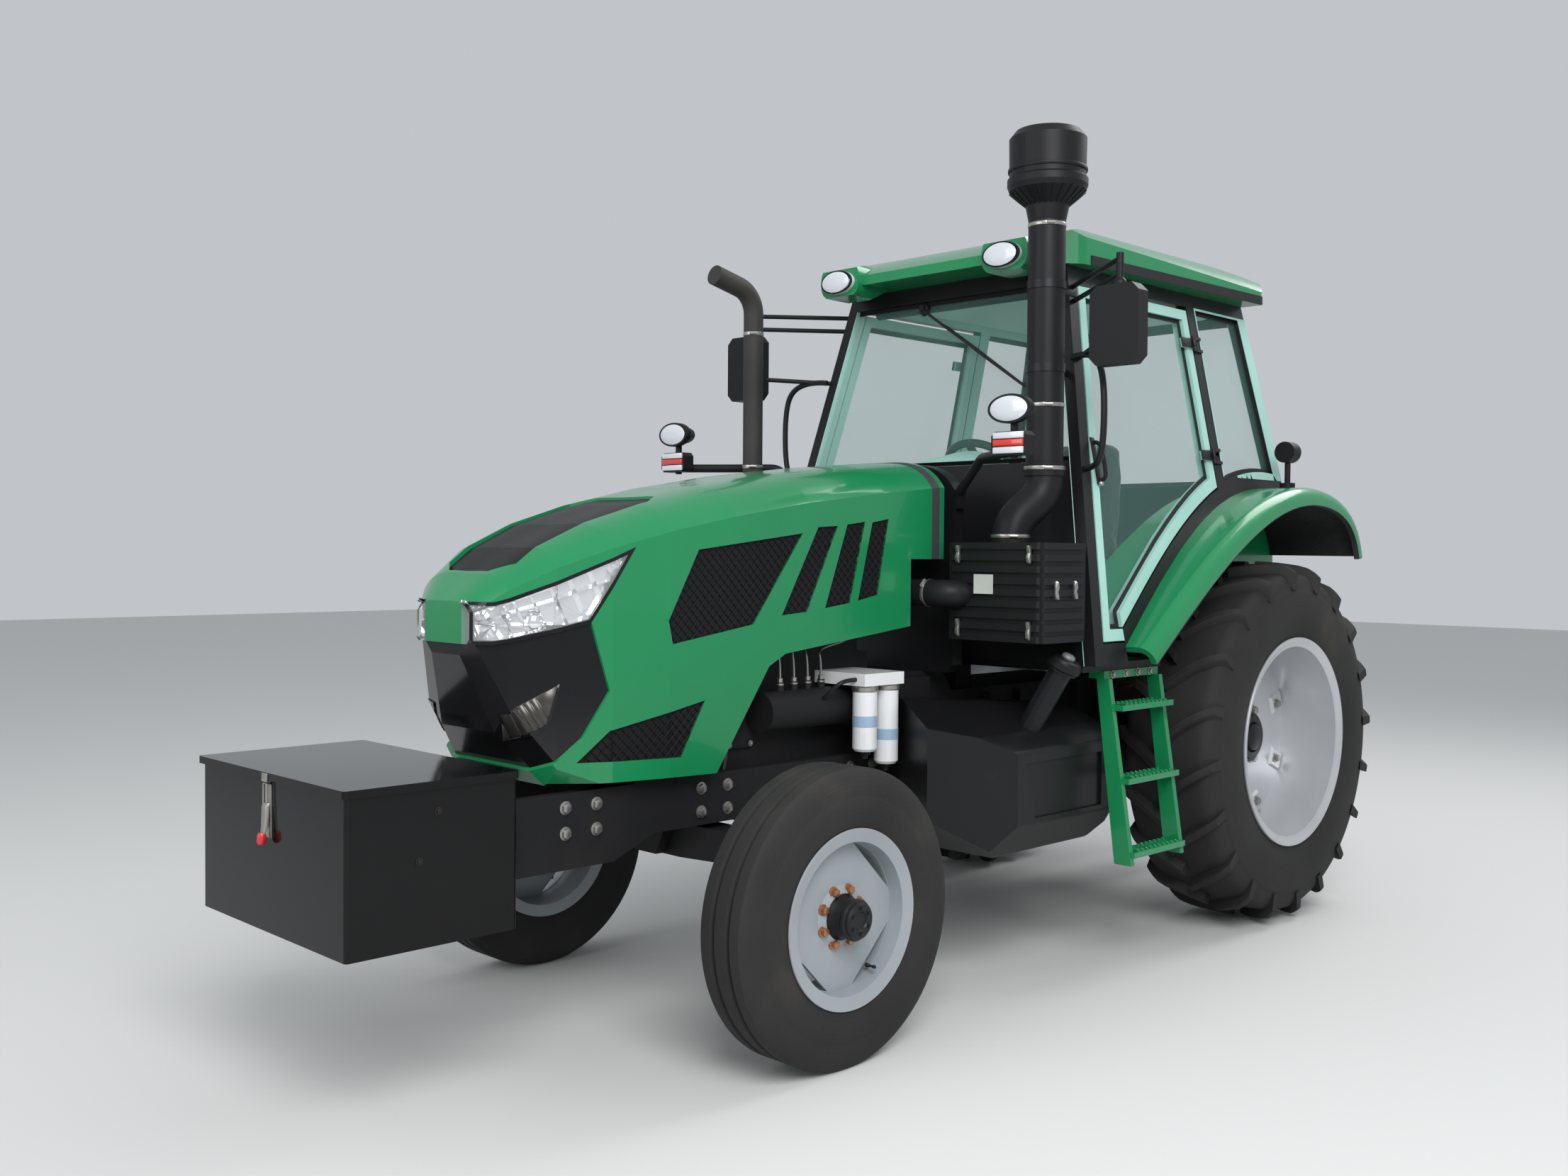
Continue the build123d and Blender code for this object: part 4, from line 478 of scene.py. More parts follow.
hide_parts("front_tyre_left")
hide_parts("front_tyre_right")

# Rear wheels: lugged drive tyres on deep dished steel rims painted silver. The disc is bolted to the
# hub by eight nuts and to lugs in the rim by eight bolts; the tyre bars meet in a chevron.
REAR_BARS = 20
REAR_HALF_TYRE = (
    (0.19, 0.4325), (0.203, 0.452), (0.2165, 0.5), (0.2235, 0.555), (0.2225, 0.61), (0.2155, 0.66),
    (0.2145, 0.667), (0.211, 0.672), (0.2095, 0.69), (0.2, 0.722), (0.183, 0.7415), (0.155, 0.749),
    (0.1, 0.7535), (0.045, 0.7555),
)
BAR_LEAD = ((-0.008, 0.096), (0.098, 0.008), (0.209, -0.062), (0.222, -0.07))
BAR_TRAIL = ((-0.008, 0.044), (0.098, -0.046), (0.209, -0.112), (0.222, -0.12))
BAR_PLACES = (-0.008, 0.03, 0.07, 0.098, 0.14, 0.175, 0.196, 0.209, 0.219)
REAR_NUTS = 8
HUB_NUT_RING = 0.155
RIM_BOLT_RING = 0.335
rear_low, rear_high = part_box("rear_tyre_left")
rear_hub = (rear_low + rear_high) / 2
rear_hub.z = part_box("rear_rim_left")[0].z / 2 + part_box("rear_rim_left")[1].z / 2
rear_radius = rear_hub.z


def along_line(line, place):
    """The value at a place on a line of (place, value) points."""
    for (near, first), (far, second) in zip(line, line[1:]):
        if place <= far:
            break
    return first + (second - first) * (place - near) / (far - near)


def bridged(name, loops):
    """A closed skin over a row of loops of points, with its ends filled."""
    bpy.ops.object.select_all(action="DESELECT")
    bpy.ops.mesh.primitive_circle_add(vertices=len(loops[0]), radius=0.1)
    piece = bpy.context.object
    piece.name = name
    bpy.ops.object.mode_set(mode="EDIT")
    for _ in loops[1:]:
        bpy.ops.mesh.primitive_circle_add(vertices=len(loops[0]), radius=0.1)
    bpy.ops.object.mode_set(mode="OBJECT")
    points = [point for loop in loops for point in loop]
    for vertex, point in zip(piece.data.vertices, points):
        vertex.co = point
    bpy.ops.object.mode_set(mode="EDIT")
    bpy.ops.mesh.select_all(action="SELECT")
    bpy.ops.mesh.bridge_edge_loops()
    bpy.ops.mesh.select_all(action="SELECT")
    bpy.ops.mesh.fill_holes(sides=0)
    bpy.ops.mesh.select_all(action="SELECT")
    bpy.ops.mesh.normals_make_consistent(inside=False)
    bpy.ops.object.mode_set(mode="OBJECT")
    return piece


def tread_bar(side):
    """One bar at the top of the tyre: it leans back from the middle and runs down the shoulder."""
    loops = []
    for place in BAR_PLACES:
        shoulder = max(0.0, place - 0.15) / 0.07
        top = 0.797 - 0.012 * (place / 0.209) ** 2 - 0.034 * shoulder**2
        root = 0.742 - 0.07 * shoulder**2
        lead, trail = along_line(BAR_LEAD, place), along_line(BAR_TRAIL, place)
        section = (
            (lead, root), (lead - 0.006, top - 0.005), (lead - 0.011, top),
            (trail + 0.011, top), (trail + 0.006, top - 0.005), (trail, root),
        )
        loops.append(
            [
                rear_hub
                + Vector((level * sin(run / rear_radius), side * place, level * cos(run / rear_radius)))
                for run, level in section
            ]
        )
    return bridged("tread_bar", loops)


def round_hub(turn):
    """A turn about the rear axle."""
    return Matrix.Translation(rear_hub) @ Matrix.Rotation(turn, 4, ACROSS) @ Matrix.Translation(-rear_hub)


wear(rim_silver, "rear_rim_left", "rear_rim_right")
rear_rubber = moulded_rubber("rear_rubber", rear_hub)
rear_profile = [(-across, radius) for across, radius in REAR_HALF_TYRE]
rear_profile += [(across, radius) for across, radius in reversed(REAR_HALF_TYRE)]
rear_tyre = spun("rear_tread_left", rear_profile, rear_hub, ACROSS, steps=120)
bar_sets = []
for side, start in ((1, 0.55), (-1, 0.05)):
    turns = [tau * (start + k) / REAR_BARS for k in range(REAR_BARS)]
    bar_sets.append(repeated(tread_bar(side), "tread_bars", [round_hub(turn) for turn in turns]))
joined(rear_tyre, *bar_sets)
disc_y = -0.052
hub_cap = spun(
    "rear_hub_left",
    [
        (0.0, 0.112), (0.0, 0.1), (0.012, 0.096), (0.014, 0.07), (0.006, 0.064), (0.022, 0.058),
        (0.03, 0.045), (0.032, 0.0),
    ],
    rear_hub + Vector((0.0, -0.0045, 0.0)),
    ACROSS,
    closed=False,
)
hub_nuts = repeated(
    hex_bolt(0.019, 0.026),
    "rear_hub_nuts_left",
    ring_places(rear_hub, disc_y - 0.007, HUB_NUT_RING, REAR_NUTS),
)
rim_bolts = repeated(
    hex_bolt(0.016, 0.02),
    "rear_rim_bolts_left",
    ring_places(rear_hub, disc_y + 0.012, RIM_BOLT_RING, REAR_NUTS, start=0.5),
)
RIM_LUG_HALF = 0.045
rim_lug = bridged(
    "rim_lug",
    [
        [
            Vector((half, disc_y + out, near)), Vector((-half, disc_y + out, near)),
            Vector((-half, disc_y + out, far)), Vector((half, disc_y + out, far)),
        ]
        for half, out, near, far in (
            (RIM_LUG_HALF, 0.0, 0.3, 0.395),
            (0.8 * RIM_LUG_HALF, 0.012, 0.312, 0.39),
        )
    ],
)
rim_lugs = repeated(
    rim_lug,
    "rear_rim_lugs_left",
    [
        Matrix.Translation(rear_hub) @ Matrix.Rotation(tau * (k + 0.5) / REAR_NUTS, 4, ACROSS)
        for k in range(REAR_NUTS)
    ],
)
flange_ring = spun(
    "rear_rim_ring_left",
    [(0.2, 0.4215), (0.2065, 0.437), (0.2145, 0.448), (0.217, 0.4605), (0.2115, 0.4625), (0.207, 0.45)],
    rear_hub,
    ACROSS,
    steps=120,
)
for piece, finish, slot in (
    (rear_tyre, rear_rubber, "tyre_rubber"),
    (hub_cap, hub_black, "black_paint"),
    (hub_nuts, bolt_steel, "rim_silver"),
    (rim_bolts, bolt_steel, "rim_silver"),
    (rim_lugs, rim_silver, "rim_silver"),
    (flange_ring, rim_silver, "rim_silver"),
):
    settle_pair(piece, finish, "rear_wheel_left")
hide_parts("rear_tyre_left")
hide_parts("rear_tyre_right")

# Ballast box: folded steel sheet with welded corners under a flat lid, all in deep gloss black. A
# toggle latch of bright steel with a red grip pulls the lid down at the middle of the front.
BOX_GLOSS = (0.004, 0.004, 0.0045)
GRIP_RED = (0.5, 0.012, 0.02)
LATCH_HALF = 0.019


def new_block(name, low, high):
    """A cube primitive between two corners, its place kept in its mesh."""
    bpy.ops.object.select_all(action="DESELECT")
    middle = [(a + b) / 2 for a, b in zip(low, high)]
    bpy.ops.mesh.primitive_cube_add(size=1.0, location=middle)
    piece = bpy.context.object
    piece.name = name
    piece.scale = [b - a for a, b in zip(low, high)]
    bpy.ops.object.transform_apply(location=True, rotation=True, scale=True)
    return piece


def bent_rod(name, points, radius, sides=12, smooth=True):
    """A round bar or pipe along a line of points, its bends rounded by a spline."""
    bpy.ops.object.select_all(action="DESELECT")
    bpy.ops.curve.primitive_nurbs_path_add()
    piece = bpy.context.object
    piece.name = name
    line = piece.data
    line.splines.clear()
    spline = line.splines.new("NURBS" if smooth else "POLY")
    spline.points.add(len(points) - 1)
    for point, place in zip(spline.points, points):
        point.co = (*place, 1.0)
    if smooth:
        spline.order_u = 3
        spline.use_endpoint_u = True
        spline.resolution_u = 6
    line.dimensions = "3D"
    line.bevel_depth = radius
    line.bevel_resolution = max(0, sides // 4 - 1)
    line.use_fill_caps = True
    bpy.ops.object.convert(target="MESH")
    piece = bpy.context.object
    bpy.ops.object.mode_set(mode="EDIT")
    bpy.ops.mesh.select_all(action="SELECT")
    bpy.ops.mesh.remove_doubles(threshold=0.00005)
    bpy.ops.mesh.normals_make_consistent(inside=False)
    bpy.ops.object.mode_set(mode="OBJECT")
    return piece


box_gloss = surface("box_gloss", BOX_GLOSS, 0.1, mottle=0.1, grain=30.0, relief=0.012, gloss=0.2)
grip_red = surface("grip_red", GRIP_RED, 0.4, coat=0.3, grain=200.0, relief=0.03)
wear(box_gloss, "ballast_box", "box_lid")
box_low, box_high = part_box("ballast_box")
lid_low, lid_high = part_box("box_lid")
front_x = box_high.x
latch_plate = new_block(
    "latch_plate", (front_x, -LATCH_HALF, 0.8), (front_x + 0.004, LATCH_HALF, box_high.z - 0.02)
)
soften(latch_plate, 0.0015)
latch_lever = bridged(
    "latch_lever",
    [
        [
            Vector((front_x + out - thick, -half, level)), Vector((front_x + out, -0.8 * half, level)),
            Vector((front_x + out, 0.8 * half, level)), Vector((front_x + out - thick, half, level)),
        ]
        for level, half, out, thick in (
            (0.9, 0.015, 0.013, 0.009), (0.89, 0.016, 0.017, 0.012), (0.86, 0.0155, 0.018, 0.011),
            (0.83, 0.013, 0.02, 0.009), (0.808, 0.011, 0.024, 0.006),
        )
    ],
)
soften(latch_lever, 0.0012)
latch_grip = spun(
    "latch_grip",
    [(0.0, 0.0), (0.0, 0.009), (0.006, 0.0125), (0.026, 0.0125), (0.033, 0.008), (0.035, 0.0)],
    (front_x + 0.021, 0.0, 0.815),
    (0.1, 0.0, -1.0),
    steps=20,
    closed=False,
)
latch_loop = bent_rod(
    "latch_loop",
    [
        (front_x + 0.012, side * 0.0115, level)
        for side, level in ((1, 0.875), (1, 0.955), (-1, 0.955), (-1, 0.875))
    ],
    0.0024,
    smooth=False,
)
keeper = new_block(
    "latch_keeper",
    (lid_high.x - 0.002, -0.016, lid_low.z + 0.004),
    (lid_high.x + 0.004, 0.016, lid_high.z - 0.002),
)
soften(keeper, 0.0015)
for piece, finish, body in (
    (latch_plate, bolt_steel, "chassis"),
    (latch_lever, bolt_steel, "chassis"),
    (latch_loop, bolt_steel, "chassis"),
    (latch_grip, grip_red, "chassis"),
    (keeper, bolt_steel, "box_lid"),
):
    settle(piece, finish, body)
box_bolts = repeated(
    hex_bolt(0.009, 0.008),
    "box_bolts",
    [
        facing((box_low.x + reach, side * box_high.y, level), (0.0, side, 0.0))
        for side in (1, -1)
        for reach, level in ((0.28, 0.9), (0.34, 0.767))
    ],
)
settle(box_bolts, cast_black, "chassis")

# Engine: a four-cylinder block, head and sump in cast iron, painted black and bolted between the
# rails. Steel pipes lead from the injection pump to the head; the oil cap and dipstick are yellow.
PIPE_STEEL = (0.4, 0.39, 0.36)
CAP_YELLOW = (0.62, 0.36, 0.02)
CYLINDERS = 4
INJECTOR_PITCH, INJECTOR_Z = 0.2, 1.42
OUTLET_PITCH, OUTLET_Z = 0.07, 1.15
wear(cast_black, "engine")
pipe_steel = surface("pipe_steel", PIPE_STEEL, 0.32, metallic=0.9, grain=200.0, relief=0.02)
cap_yellow = surface("cap_yellow", CAP_YELLOW, 0.4, coat=0.2, grain=200.0, relief=0.03)
engine_low, engine_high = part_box("engine")
first_outlet = engine_low.x + 0.34
first_injector = engine_low.x + 0.14
block_side = 0.21
pump_y = 0.29
for k in range(CYLINDERS):
    outlet_x = first_outlet + OUTLET_PITCH * k
    injector_x = first_injector + INJECTOR_PITCH * k
    injector_pipe = bent_rod(
        f"injector_pipe_{k + 1}",
        [
            (outlet_x, pump_y, OUTLET_Z), (outlet_x, pump_y, 1.235),
            (outlet_x, pump_y - 0.02, 1.27 + 0.012 * k), (injector_x, pump_y - 0.02, 1.3 + 0.012 * k),
            (injector_x, pump_y - 0.03, 1.36), (injector_x, block_side - 0.004, INJECTOR_Z),
        ],
        0.0045,
    )
    settle(injector_pipe, pipe_steel, "chassis")
union_nuts = repeated(
    hex_bolt(0.011, 0.024),
    "union_nuts",
    [facing((first_outlet + OUTLET_PITCH * k, pump_y, OUTLET_Z), UP) for k in range(CYLINDERS)]
    + [
        facing((first_injector + INJECTOR_PITCH * k, block_side, INJECTOR_Z), ACROSS)
        for k in range(CYLINDERS)
    ],
)
settle(union_nuts, pipe_steel, "chassis")
side_cover = new_block(
    "engine_side_cover",
    (engine_low.x + 0.62, block_side - 0.001, 0.93),
    (engine_high.x - 0.16, block_side + 0.018, 1.19),
)
step_in(side_cover, towards(ACROSS), 0.028, -0.008)
step_in(side_cover, lambda centre, normal: normal.y > 0.9 and centre.y < block_side + 0.012, 0.03, 0.005)
soften(side_cover, 0.004)
settle(side_cover, cast_black, "chassis")
cover_bolts = repeated(
    hex_bolt(0.008, 0.007),
    "engine_bolts",
    [
        facing((reach, block_side + 0.018, level), ACROSS)
        for reach in (engine_low.x + 0.634, (engine_low.x + engine_high.x) / 2 + 0.2, engine_high.x - 0.174)
        for level in (0.944, 1.176)
    ]
    + [
        facing((engine_low.x + 0.16 + 0.105 * k, side * 0.115, 1.535), (0.0, side * 0.9, 0.35))
        for k in range(7)
        for side in (1, -1)
    ],
)
settle(cover_bolts, bolt_steel, "chassis")
filler_cap = spun(
    "oil_filler_cap",
    [
        (0.0, 0.042), (0.012, 0.044), (0.016, 0.04), (0.016, 0.03), (0.03, 0.026), (0.034, 0.02),
        (0.034, 0.0),
    ],
    (0.687, 0.0, 1.62),
    UP,
    steps=32,
    closed=False,
)
settle(filler_cap, cap_yellow, "chassis")
dipstick = bent_rod(
    "dipstick_tube",
    [
        (engine_high.x - 0.32, block_side + 0.006, 0.86), (engine_high.x - 0.32, block_side + 0.03, 0.95),
        (engine_high.x - 0.3, block_side + 0.03, 1.2), (engine_high.x - 0.29, block_side + 0.025, 1.31),
    ],
    0.006,
)
settle(dipstick, pipe_steel, "chassis")
grip = spun(
    "dipstick_grip",
    [(0.0, 0.0), (0.0, 0.011), (0.03, 0.012), (0.036, 0.008), (0.037, 0.0)],
    (engine_high.x - 0.29, block_side + 0.025, 1.305),
    UP,
    steps=16,
    closed=False,
)
settle(grip, cap_yellow, "chassis")

# Filters: two spin-on steel cans in white enamel under a cast alloy head on the engine's left side.
# Each can has a rolled seam at its rim and a plain pale blue band, and a drain cock at the bottom.
CAN_WHITE = (0.74, 0.75, 0.76)
BAND_BLUE = (0.3, 0.43, 0.56)
CAN_FOOT = 0.845  # the foot of the longer can
can_white = surface("can_white", CAN_WHITE, 0.28, coat=0.4, mottle=0.03, grain=300.0, relief=0.01)
band_blue = surface("band_blue", BAND_BLUE, 0.4, mottle=0.05, grain=300.0, relief=0.01)
wear(can_white, "filters")
filter_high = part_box("filters")[1]
can_radius = 0.045
can_y = filter_high.y - can_radius
for can_x, can_foot, can_name in ((0.469, CAN_FOOT, "long"), (0.587, 0.9, "short")):
    can = Vector((can_x, can_y, can_foot))
    seam = spun(
        f"filter_seam_{can_name}",
        [
            (0.272 - can_foot + CAN_FOOT, can_radius), (0.276 - can_foot + CAN_FOOT, can_radius + 0.004),
            (0.29 - can_foot + CAN_FOOT, can_radius + 0.004), (0.2945 - can_foot + CAN_FOOT, can_radius),
        ],
        can,
        UP,
        steps=40,
    )
    settle(seam, pipe_steel, "chassis")
    band = spun(
        f"filter_band_{can_name}",
        [
            (0.09, can_radius - 0.001), (0.09, can_radius + 0.0008),
            (0.13, can_radius + 0.0008), (0.13, can_radius - 0.001),
        ],
        can,
        UP,
        steps=40,
    )
    settle(band, band_blue, "chassis")
    cock = spun(
        f"filter_cock_{can_name}",
        [(0.001, 0.02), (-0.012, 0.02), (-0.016, 0.012), (-0.028, 0.012), (-0.03, 0.0)],
        can,
        UP,
        steps=20,
        closed=False,
    )
    settle(cock, hub_black, "chassis")
fuel_pipe = bent_rod(
    "fuel_pipe",
    [
        (filter_high.x - 0.004, can_y, 1.163), (filter_high.x + 0.06, can_y, 1.163),
        (filter_high.x + 0.09, can_y - 0.02, 1.14), (filter_high.x + 0.1, pump_y + 0.06, 1.09),
        (filter_high.x + 0.1, pump_y + 0.02, 1.075),
    ],
    0.008,
)
settle(fuel_pipe, hub_black, "chassis")

# Radiator: a black finned core in a frame of tanks, standing on the rails behind the grille. Its
# fins are folded strip a few millimetres apart, which show as fine upright lines.
CORE_BLACK = (0.015, 0.015, 0.016)
core_black = surface(
    "core_black", CORE_BLACK, 0.5, metallic=0.3, grain=80.0, relief=0.04, dust=0.2, gloss=0.2
)
core_tree = core_black.node_tree
core_place = core_tree.nodes.new("ShaderNodeTexCoord")
fins = core_tree.nodes.new("ShaderNodeTexWave")
fins.bands_direction = "Y"
fins.inputs["Scale"].default_value = 60.0
fin_relief = core_tree.nodes.new("ShaderNodeBump")
fin_relief.inputs["Strength"].default_value = 0.5
fin_relief.inputs["Distance"].default_value = 0.003
core_tree.links.new(core_place.outputs["Object"], fins.inputs["Vector"])
core_tree.links.new(fins.outputs["Fac"], fin_relief.inputs["Height"])
core_tree.links.new(fin_relief.outputs["Normal"], core_tree.nodes["grain_relief"].inputs["Normal"])
wear(core_black, "radiator")

# Bonnet: pressed steel panels in green enamel, hinged at the rear. A dark grey rubber strip lies
# near its rear edge; the grille mask, lamps and vents are let into it from inside.
ENAMEL_GREEN = (0.008, 0.2, 0.07)
STRIP_GREY = (0.045, 0.047, 0.05)
STRIP_AHEAD = (0.03, 0.075)  # the strip's rear and front edge, ahead of the bonnet's rear edge


def cut_through(place, outward, drop_outer=False):
    """Cuts the whole of an open piece along a plane, and drops what lies outward of it if asked."""
    bpy.ops.mesh.select_all(action="SELECT")
    bpy.ops.mesh.bisect(plane_co=place, plane_no=outward, clear_outer=drop_outer)


def outer_skin(name, node, wanted, cuts=()):
    """A sheet copied from a CAD node: the faces that wanted accepts, kept inside the cutting planes."""
    sheet = bpy.data.objects.new(name, nodes[node].data.copy())
    bpy.context.scene.collection.objects.link(sheet)
    open_faces(sheet, wanted)
    bpy.ops.mesh.select_all(action="INVERT")
    bpy.ops.mesh.delete(type="FACE")
    bpy.ops.mesh.select_all(action="SELECT")
    bpy.ops.mesh.remove_doubles(threshold=0.0001)
    for place, outward in cuts:
        cut_through(place, outward, drop_outer=True)
    bpy.ops.mesh.select_all(action="SELECT")
    bpy.ops.mesh.dissolve_limited(angle_limit=radians(2.0))
    bpy.ops.object.mode_set(mode="OBJECT")
    return sheet


def lift_skin(sheet, height):
    """Moves a sheet along its normals."""
    modified(sheet, "DISPLACE", strength=height, mid_level=0.0)


def thicken(sheet, thickness, offset=-1.0):
    """Gives a sheet a thickness: below it at offset -1, above it at offset 1."""
    modified(sheet, "SOLIDIFY", thickness=thickness, offset=offset)


def keep_ring(sheet, width):
    """Leaves only a border of a width along a sheet's edge."""
    open_faces(sheet)
    bpy.ops.mesh.inset(thickness=width, depth=0.0, use_boundary=True)
    bpy.ops.mesh.delete(type="FACE")
    bpy.ops.object.mode_set(mode="OBJECT")


enamel_green = surface(
    "enamel_green", ENAMEL_GREEN, 0.24, coat=0.4, mottle=0.03, grain=220.0, relief=0.008, gloss=0.35
)
strip_grey = surface("strip_grey", STRIP_GREY, 0.5, grain=200.0, relief=0.04, gloss=0.3)
wear(enamel_green, "hood")
hood_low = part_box("hood")[0]
hood_strip = outer_skin(
    "hood_strip",
    "hood",
    lambda centre, normal: centre.z > 1.3 and (normal.z > 0.2 or normal.y * centre.y > 0.1),
    [
        ((hood_low.x + STRIP_AHEAD[0], 0.0, 0.0), ASTERN),
        ((hood_low.x + STRIP_AHEAD[1], 0.0, 0.0), AHEAD),
    ],
)
open_faces(hood_strip, lambda centre, normal: abs(centre.y) < 0.34 and centre.z < 1.94 and normal.z < 0.3)
bpy.ops.mesh.delete(type="FACE")
bpy.ops.object.mode_set(mode="OBJECT")
lift_skin(hood_strip, 0.0015)
thicken(hood_strip, 0.003)
settle(hood_strip, strip_grey, "bonnet")

# Grille mask: one moulded panel in piano black round the nose, with a lamp pocket at each lower
# corner. Each pocket has a raised black frame round a ribbed lamp of smoked plastic.
MASK_BLACK = (0.006, 0.006, 0.007)
CHROME = (0.82, 0.83, 0.85)
FOG_SMOKED = (0.07, 0.067, 0.06)
FOG_CORNERS = ((2.008, 1.127), (1.861, 1.213), (1.891, 1.081), (1.976, 1.033))  # along, height
mask_black = surface(
    "mask_black", MASK_BLACK, 0.14, coat=0.15, mottle=0.05, grain=40.0, relief=0.008, gloss=0.3
)
fog_smoked = surface("fog_smoked", FOG_SMOKED, 0.3, metallic=0.7, mottle=0.1, grain=60.0, relief=0.02)
chrome = surface("lamp_chrome", CHROME, 0.1, metallic=1.0, mottle=0.03, grain=90.0, relief=0.02)
wear(mask_black, "grille_mask")


def cuts_round(corners):
    """Crosswise cutting planes along the sides of an outline of (along, height) corners."""
    middle = sum((Vector((x, 0.0, z)) for x, z in corners), Vector()) / len(corners)
    planes = []
    for (x1, z1), (x2, z2) in zip(corners, (*corners[1:], corners[0])):
        place, outward = Vector((x1, 0.0, z1)), Vector((z2 - z1, 0.0, x1 - x2))
        planes.append((place, outward if outward.dot(middle - place) < 0 else -outward))
    return planes


def left_outside(centre, normal):
    """The outer faces of a panel's left half."""
    return centre.y > 0.02 and normal.y > 0.15


fog_frame = outer_skin("fog_frame_left", "grille_mask", left_outside, cuts_round(FOG_CORNERS))
fog_reflector = copies(fog_frame, "fog_reflector_left", [Matrix.Identity(4)])
keep_ring(fog_frame, 0.009)
lift_skin(fog_frame, 0.005)
thicken(fog_frame, 0.006)
lift_skin(fog_reflector, 0.0006)
open_faces(fog_reflector)
for step in range(1, 7):
    cut_through((2.02 - 0.022 * step, 0.0, 1.1), (1.0, 0.0, -0.55))
bpy.ops.mesh.select_all(action="SELECT")
bpy.ops.mesh.inset(thickness=0.0035, depth=0.0035, use_individual=True, use_even_offset=False)
bpy.ops.object.mode_set(mode="OBJECT")
for piece, finish in ((fog_frame, mask_black), (fog_reflector, fog_smoked)):
    settle_pair(piece, finish, "bonnet")

# Headlamps: clear moulded lenses that wrap round the nose, bonded to a black frame. Behind each lens
# are bright plated reflectors in a row of slanted cells and a domed projector near the front.
LENS_CLEAR = (0.95, 0.97, 0.98)
CELL_CUTS = (1.7, 1.775, 1.845, 1.91, 1.965, 2.015, 2.05)


def clear_pane(name, colour, alpha, roughness=0.02):
    """A thin clear or tinted pane that lets the inside show, faintly uneven as drawn glass is."""
    material = surface(name, colour, roughness, coat=0.2, mottle=0.02, grain=3.0, relief=0.004, gloss=0.4)
    material.node_tree.nodes["Principled BSDF"].inputs["Alpha"].default_value = alpha
    material.surface_render_method = "BLENDED"
    return material


lens_clear = clear_pane("lens_clear", LENS_CLEAR, 0.16)
wear(lens_clear, "headlamps")
lamp_border = outer_skin("headlamp_border_left", "headlamps", left_outside)
reflector = copies(lamp_border, "headlamp_reflector_left", [Matrix.Identity(4)])
lamp_back = copies(lamp_border, "headlamp_back_left", [Matrix.Identity(4)])
keep_ring(lamp_border, 0.011)
lift_skin(lamp_border, 0.0012)
thicken(lamp_border, 0.004)
lift_skin(lamp_back, -0.06)
thicken(lamp_back, 0.003)
lift_skin(reflector, -0.01)
open_faces(reflector)
bpy.ops.mesh.inset(thickness=0.013, depth=0.0, use_boundary=True)
bpy.ops.mesh.select_all(action="INVERT")
bpy.ops.mesh.delete(type="FACE")
for place in CELL_CUTS:
    cut_through((place, 0.0, 1.42), (1.0, 0.0, -0.45))
for rise, slope in ((1.395, 0.0), (1.43, 0.33)):
    cut_through((2.0, 0.0, rise), (slope, 0.0, 1.0))
bpy.ops.mesh.select_all(action="SELECT")
bpy.ops.mesh.inset(thickness=0.0035, depth=-0.012, use_individual=True, use_even_offset=False)
bpy.ops.mesh.inset(thickness=0.005, depth=-0.016, use_individual=True, use_even_offset=False)
bpy.ops.object.mode_set(mode="OBJECT")
projector = spun(
    "headlamp_projector_left",
    [
        (0.0, 0.0), (0.0, 0.034), (0.012, 0.036), (0.018, 0.033), (0.018, 0.03), (0.026, 0.025),
        (0.033, 0.014), (0.036, 0.0),
    ],
    (1.918, 0.24, 1.402),
    (0.62, 0.78, 0.0),
    steps=32,
    closed=False,
)
for piece, finish, slot in (
    (lamp_border, mask_black, "black_plastic"),
    (lamp_back, mask_black, "black_plastic"),
    (reflector, chrome, "lamp_glass"),
    (projector, chrome, "lamp_glass"),
):
    settle_pair(piece, finish, "bonnet", smooth=25.0)

# Vents: black moulded panels set back in the bonnet's openings, each behind a lattice of thin
# bars that lets the air through; a smooth dark insert lies in the top of the nose.
VENT_BLACK = (0.011, 0.011, 0.012)
LATTICE_PITCH = 0.024
LATTICE_BAR = 0.0045
vent_black = surface("vent_black", VENT_BLACK, 0.42, grain=260.0, relief=0.06, gloss=0.15)
wear(vent_black, "hood_vents")
vent_low, vent_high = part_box("hood_vents")
lattice = outer_skin(
    "vent_lattice_left", "hood_vents", lambda centre, normal: centre.y > 0.2 and normal.y > 0.5
)
lattice_span = vent_high.x - vent_low.x
open_faces(lattice)
for slant in (1.0, -1.0):
    for step in range(int(1.6 * lattice_span / LATTICE_PITCH)):
        reach = vent_low.x - 0.4 + LATTICE_PITCH * 1.41 * step
        cut_through((reach, 0.0, 1.35), (1.0, 0.0, slant))
bpy.ops.object.mode_set(mode="OBJECT")
lift_skin(lattice, 0.004)
modified(lattice, "WIREFRAME", thickness=LATTICE_BAR, use_even_offset=False)
settle_pair(lattice, vent_black, "bonnet")

# Bulkhead: a pressed steel wall behind the bonnet, sprayed satin black. Arms welded to it carry the
# pins on which the bonnet turns.
SATIN_BLACK = (0.009, 0.009, 0.01)
satin_black = surface("satin_black", SATIN_BLACK, 0.36, grain=160.0, relief=0.02, dust=0.04, gloss=0.25)
wear(satin_black, "bulkhead")

